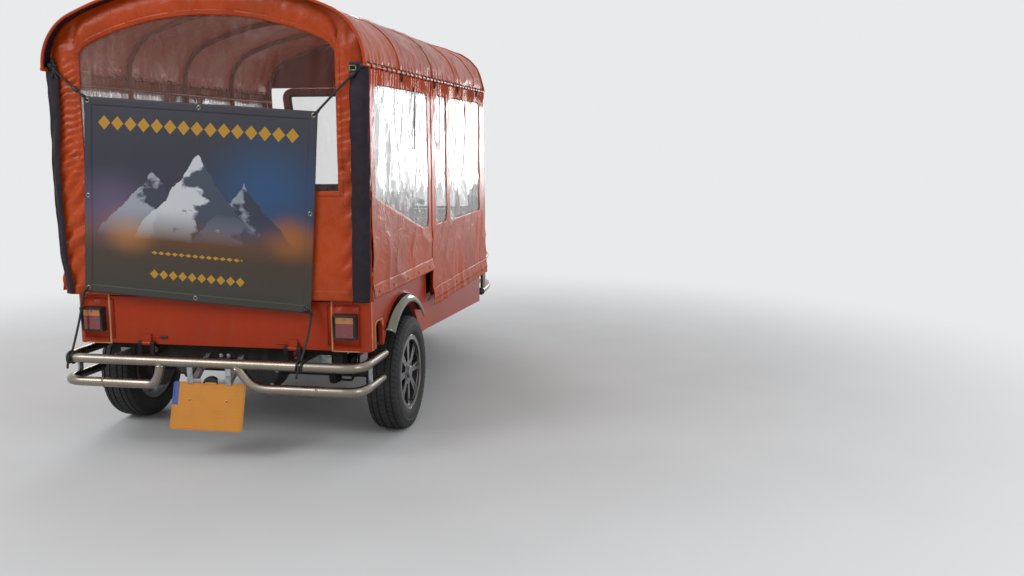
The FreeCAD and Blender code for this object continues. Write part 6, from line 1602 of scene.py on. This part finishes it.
class RICKSHAW_OT_seats(bpy.types.Operator):
    """Stuffs the driver's seat and both benches"""
    bl_idname = "rickshaw.seats"
    bl_label = "Seats"

    def execute(self, context):
        for node, channels in (("driver_seat", 4), ("bench_front", 9), ("bench_rear", 9)):
            for low, high in loose_boxes(node):
                size = high - low
                thin = min(range(3), key=lambda i: size[i])
                if thin == 0:
                    piece = stuffed(f"{node}_back", low, high, thin, channels)
                elif abs(size.z - CUSHION_HEIGHT) < 0.002:
                    piece = stuffed(f"{node}_cushion", low, high, thin, channels)
                else:
                    piece = build(f"{node}_base", rounded_block(low, high, 0.006), "inner")
                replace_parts(piece, node)
        return {"FINISHED"}


# Tyre, rim, body, width across the walls and the side that faces out
TYRES = (
    ("front_tyre", "front_rim", "front_wheel", 0.145, 1),
    ("rear_tyre_left", "rear_rim_left", "rear_wheel_left", 0.157, 1),
    ("rear_tyre_right", "rear_rim_right", "rear_wheel_right", 0.157, -1),
)


class RICKSHAW_OT_tyres(bpy.types.Operator):
    """Moulds the tyres with their tread, and fits nuts, caps, valves and bright lips to the rims"""
    bl_idname = "rickshaw.tyres"
    bl_label = "Wheels"

    def execute(self, context):
        look = context.scene.rickshaw_sizes
        for node, rim, body, width, out in TYRES:
            low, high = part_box(node)
            centre, outer = (low + high) / 2, (high.z - low.z) / 2
            half = width / 2
            # half section from the bead to the crown: (share of the half width, depth below the crown)
            side = [(0.86, 0.092), (0.93, 0.085), (0.965, 0.076), (0.975, 0.0745), (0.985, 0.068), (1.0, 0.050),
                    (0.990, 0.044), (0.998, 0.0425), (0.998, 0.0385), (0.983, 0.037), (0.975, 0.033), (0.955, 0.028),
                    (0.945, 0.020), (0.88, 0.0085), (0.80, 0.0045)]
            groove = 0.0035 / half
            tread = []
            for at in (0.60, 0.24):
                tread += [(at + groove, 0.0012), (at + groove * 0.7, 0.0075),
                          (at - groove * 0.7, 0.0075), (at - groove, 0.0012 if at > 0.5 else 0.0004)]
            right = side + tread
            section = [(-a, r) for a, r in right] + [(a, r) for a, r in reversed(right)]
            mesh = bmesh.new()
            corners = [mesh.verts.new((centre.x, centre.y + a * half, centre.z + outer - r)) for a, r in section]
            edges = [mesh.edges.new(pair) for pair in zip(corners, corners[1:])]
            bmesh.ops.spin(mesh, geom=corners + edges, cent=centre, axis=(0, 1, 0), angle=FULL_TURN,
                           steps=look.tyre_pitches * 6, use_merge=True)
            bmesh.ops.remove_doubles(mesh, verts=mesh.verts, dist=0.01 * MM)
            bmesh.ops.recalc_face_normals(mesh, faces=mesh.faces)
            for corner in mesh.verts:
                flat = Vector((corner.co.x - centre.x, 0, corner.co.z - centre.z))
                across = (corner.co.y - centre.y) / half
                angle = math.atan2(flat.z, flat.x) / FULL_TURN * look.tyre_pitches
                depth = outer - flat.length
                # Grooves across the tread, and ribs on the wall
                if depth < 0.012 and abs(across) < 0.95:
                    phase = (angle + across * 0.7) % 1.0
                    if phase < 0.17 and (depth < 0.005 or abs(across) > 0.7):
                        corner.co -= flat.normalized() * 0.0045
                elif 0.018 < depth < 0.030 and angle % 1.0 < 0.3:
                    corner.co.y -= math.copysign(0.0022, across)
            piece = build(f"{node}_moulded", mesh, "rubber", body, smooth=28.0)
            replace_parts(piece, node)

            hub = middle(rim)
            face = Vector((0, out, 0))

            def circle(radius, away):
                return [hub + Vector((radius * math.cos(a), out * away, radius * math.sin(a))) * MM
                        for a in (FULL_TURN * i / 48 for i in range(48))]

            line(f"{rim}_lip", [circle(179.5, 68.0), circle(160.5, 57.5)], 0.0026, "bright", body,
                 closed=True)
            line(f"{node}_scuff", [circle(outer / MM - 41, half / MM - 1.6)], 0.0022, "worn", body, closed=True)
            nuts = [stand(hub + Vector((44 * math.cos(a), out * 43.5, 44 * math.sin(a))) * MM, face)
                    for a in (math.radians(45 + 90 * i) for i in range(4))]
            nut = spun([(0, 0), (0, 7.4), (2, 7.4), (2, 6.2), (9, 6.2), (11, 4.4), (11.5, 0)], 6)
            scatter(f"{rim}_nuts", nut, nuts, "bright", body, smooth=20.0)
            cap = spun([(0, 27), (2.4, 27.4), (4.4, 25), (5.2, 20), (4.2, 17), (4.6, 8), (5, 0)], 32)
            scatter(f"{rim}_cap", cap, [stand(hub + Vector((0, out * 65, 0)) * MM, face)], "alloy", body)
            valve = spun([(0, 0), (0, 5.5), (6, 4.6), (20, 3.4), (24, 3.4), (24, 4.2), (34, 4.2), (36, 3), (36, 0)], 12)
            scatter(f"{rim}_valve", valve, [stand(hub + Vector((24, out * 40, -154)) * MM, (0, out, 0.35))],
                    "elastic", body)
        return {"FINISHED"}


STEPS = (
    RICKSHAW_OT_stage, RICKSHAW_OT_finish_frame, RICKSHAW_OT_roof, RICKSHAW_OT_rear_curtain,
    RICKSHAW_OT_side_curtains, RICKSHAW_OT_clear_panes, RICKSHAW_OT_banner, RICKSHAW_OT_rear_lamps,
    RICKSHAW_OT_seals, RICKSHAW_OT_arch_lips, RICKSHAW_OT_gate_latches, RICKSHAW_OT_number_plate,
    RICKSHAW_OT_rear_bumper, RICKSHAW_OT_reflectors, RICKSHAW_OT_suspension, RICKSHAW_OT_headlamps,
    RICKSHAW_OT_front_bumper, RICKSHAW_OT_windscreen, RICKSHAW_OT_mirrors, RICKSHAW_OT_handlebar,
    RICKSHAW_OT_dashboard, RICKSHAW_OT_front_trim, RICKSHAW_OT_running_gear, RICKSHAW_OT_seats,
    RICKSHAW_OT_tyres,
)


class RICKSHAW_PT_steps(bpy.types.Panel):
    """Lists the steps that build the rickshaw"""
    bl_idname = "RICKSHAW_PT_steps"
    bl_label = "Auto rickshaw"
    bl_space_type = "VIEW_3D"
    bl_region_type = "UI"
    bl_category = "Rickshaw"

    def draw(self, context):
        for group in (context.scene.rickshaw_sizes, context.scene.rickshaw_colours):
            for name in group.bl_rna.properties.keys():
                if name not in ("rna_type", "name"):
                    self.layout.prop(group, name)
        for step in STEPS:
            self.layout.operator(step.bl_idname)


CLASSES = (RickshawSizes, RickshawColours, *STEPS, RICKSHAW_PT_steps)


def register():
    for one in CLASSES:
        bpy.utils.register_class(one)
    bpy.types.Scene.rickshaw_sizes = PointerProperty(type=RickshawSizes)
    bpy.types.Scene.rickshaw_colours = PointerProperty(type=RickshawColours)


def unregister():
    del bpy.types.Scene.rickshaw_colours
    del bpy.types.Scene.rickshaw_sizes
    for one in reversed(CLASSES):
        bpy.utils.unregister_class(one)


def main():
    register()
    for step in STEPS:
        group, name = step.bl_idname.split(".")
        getattr(getattr(bpy.ops, group), name)()


if __name__ == "__main__":
    main()
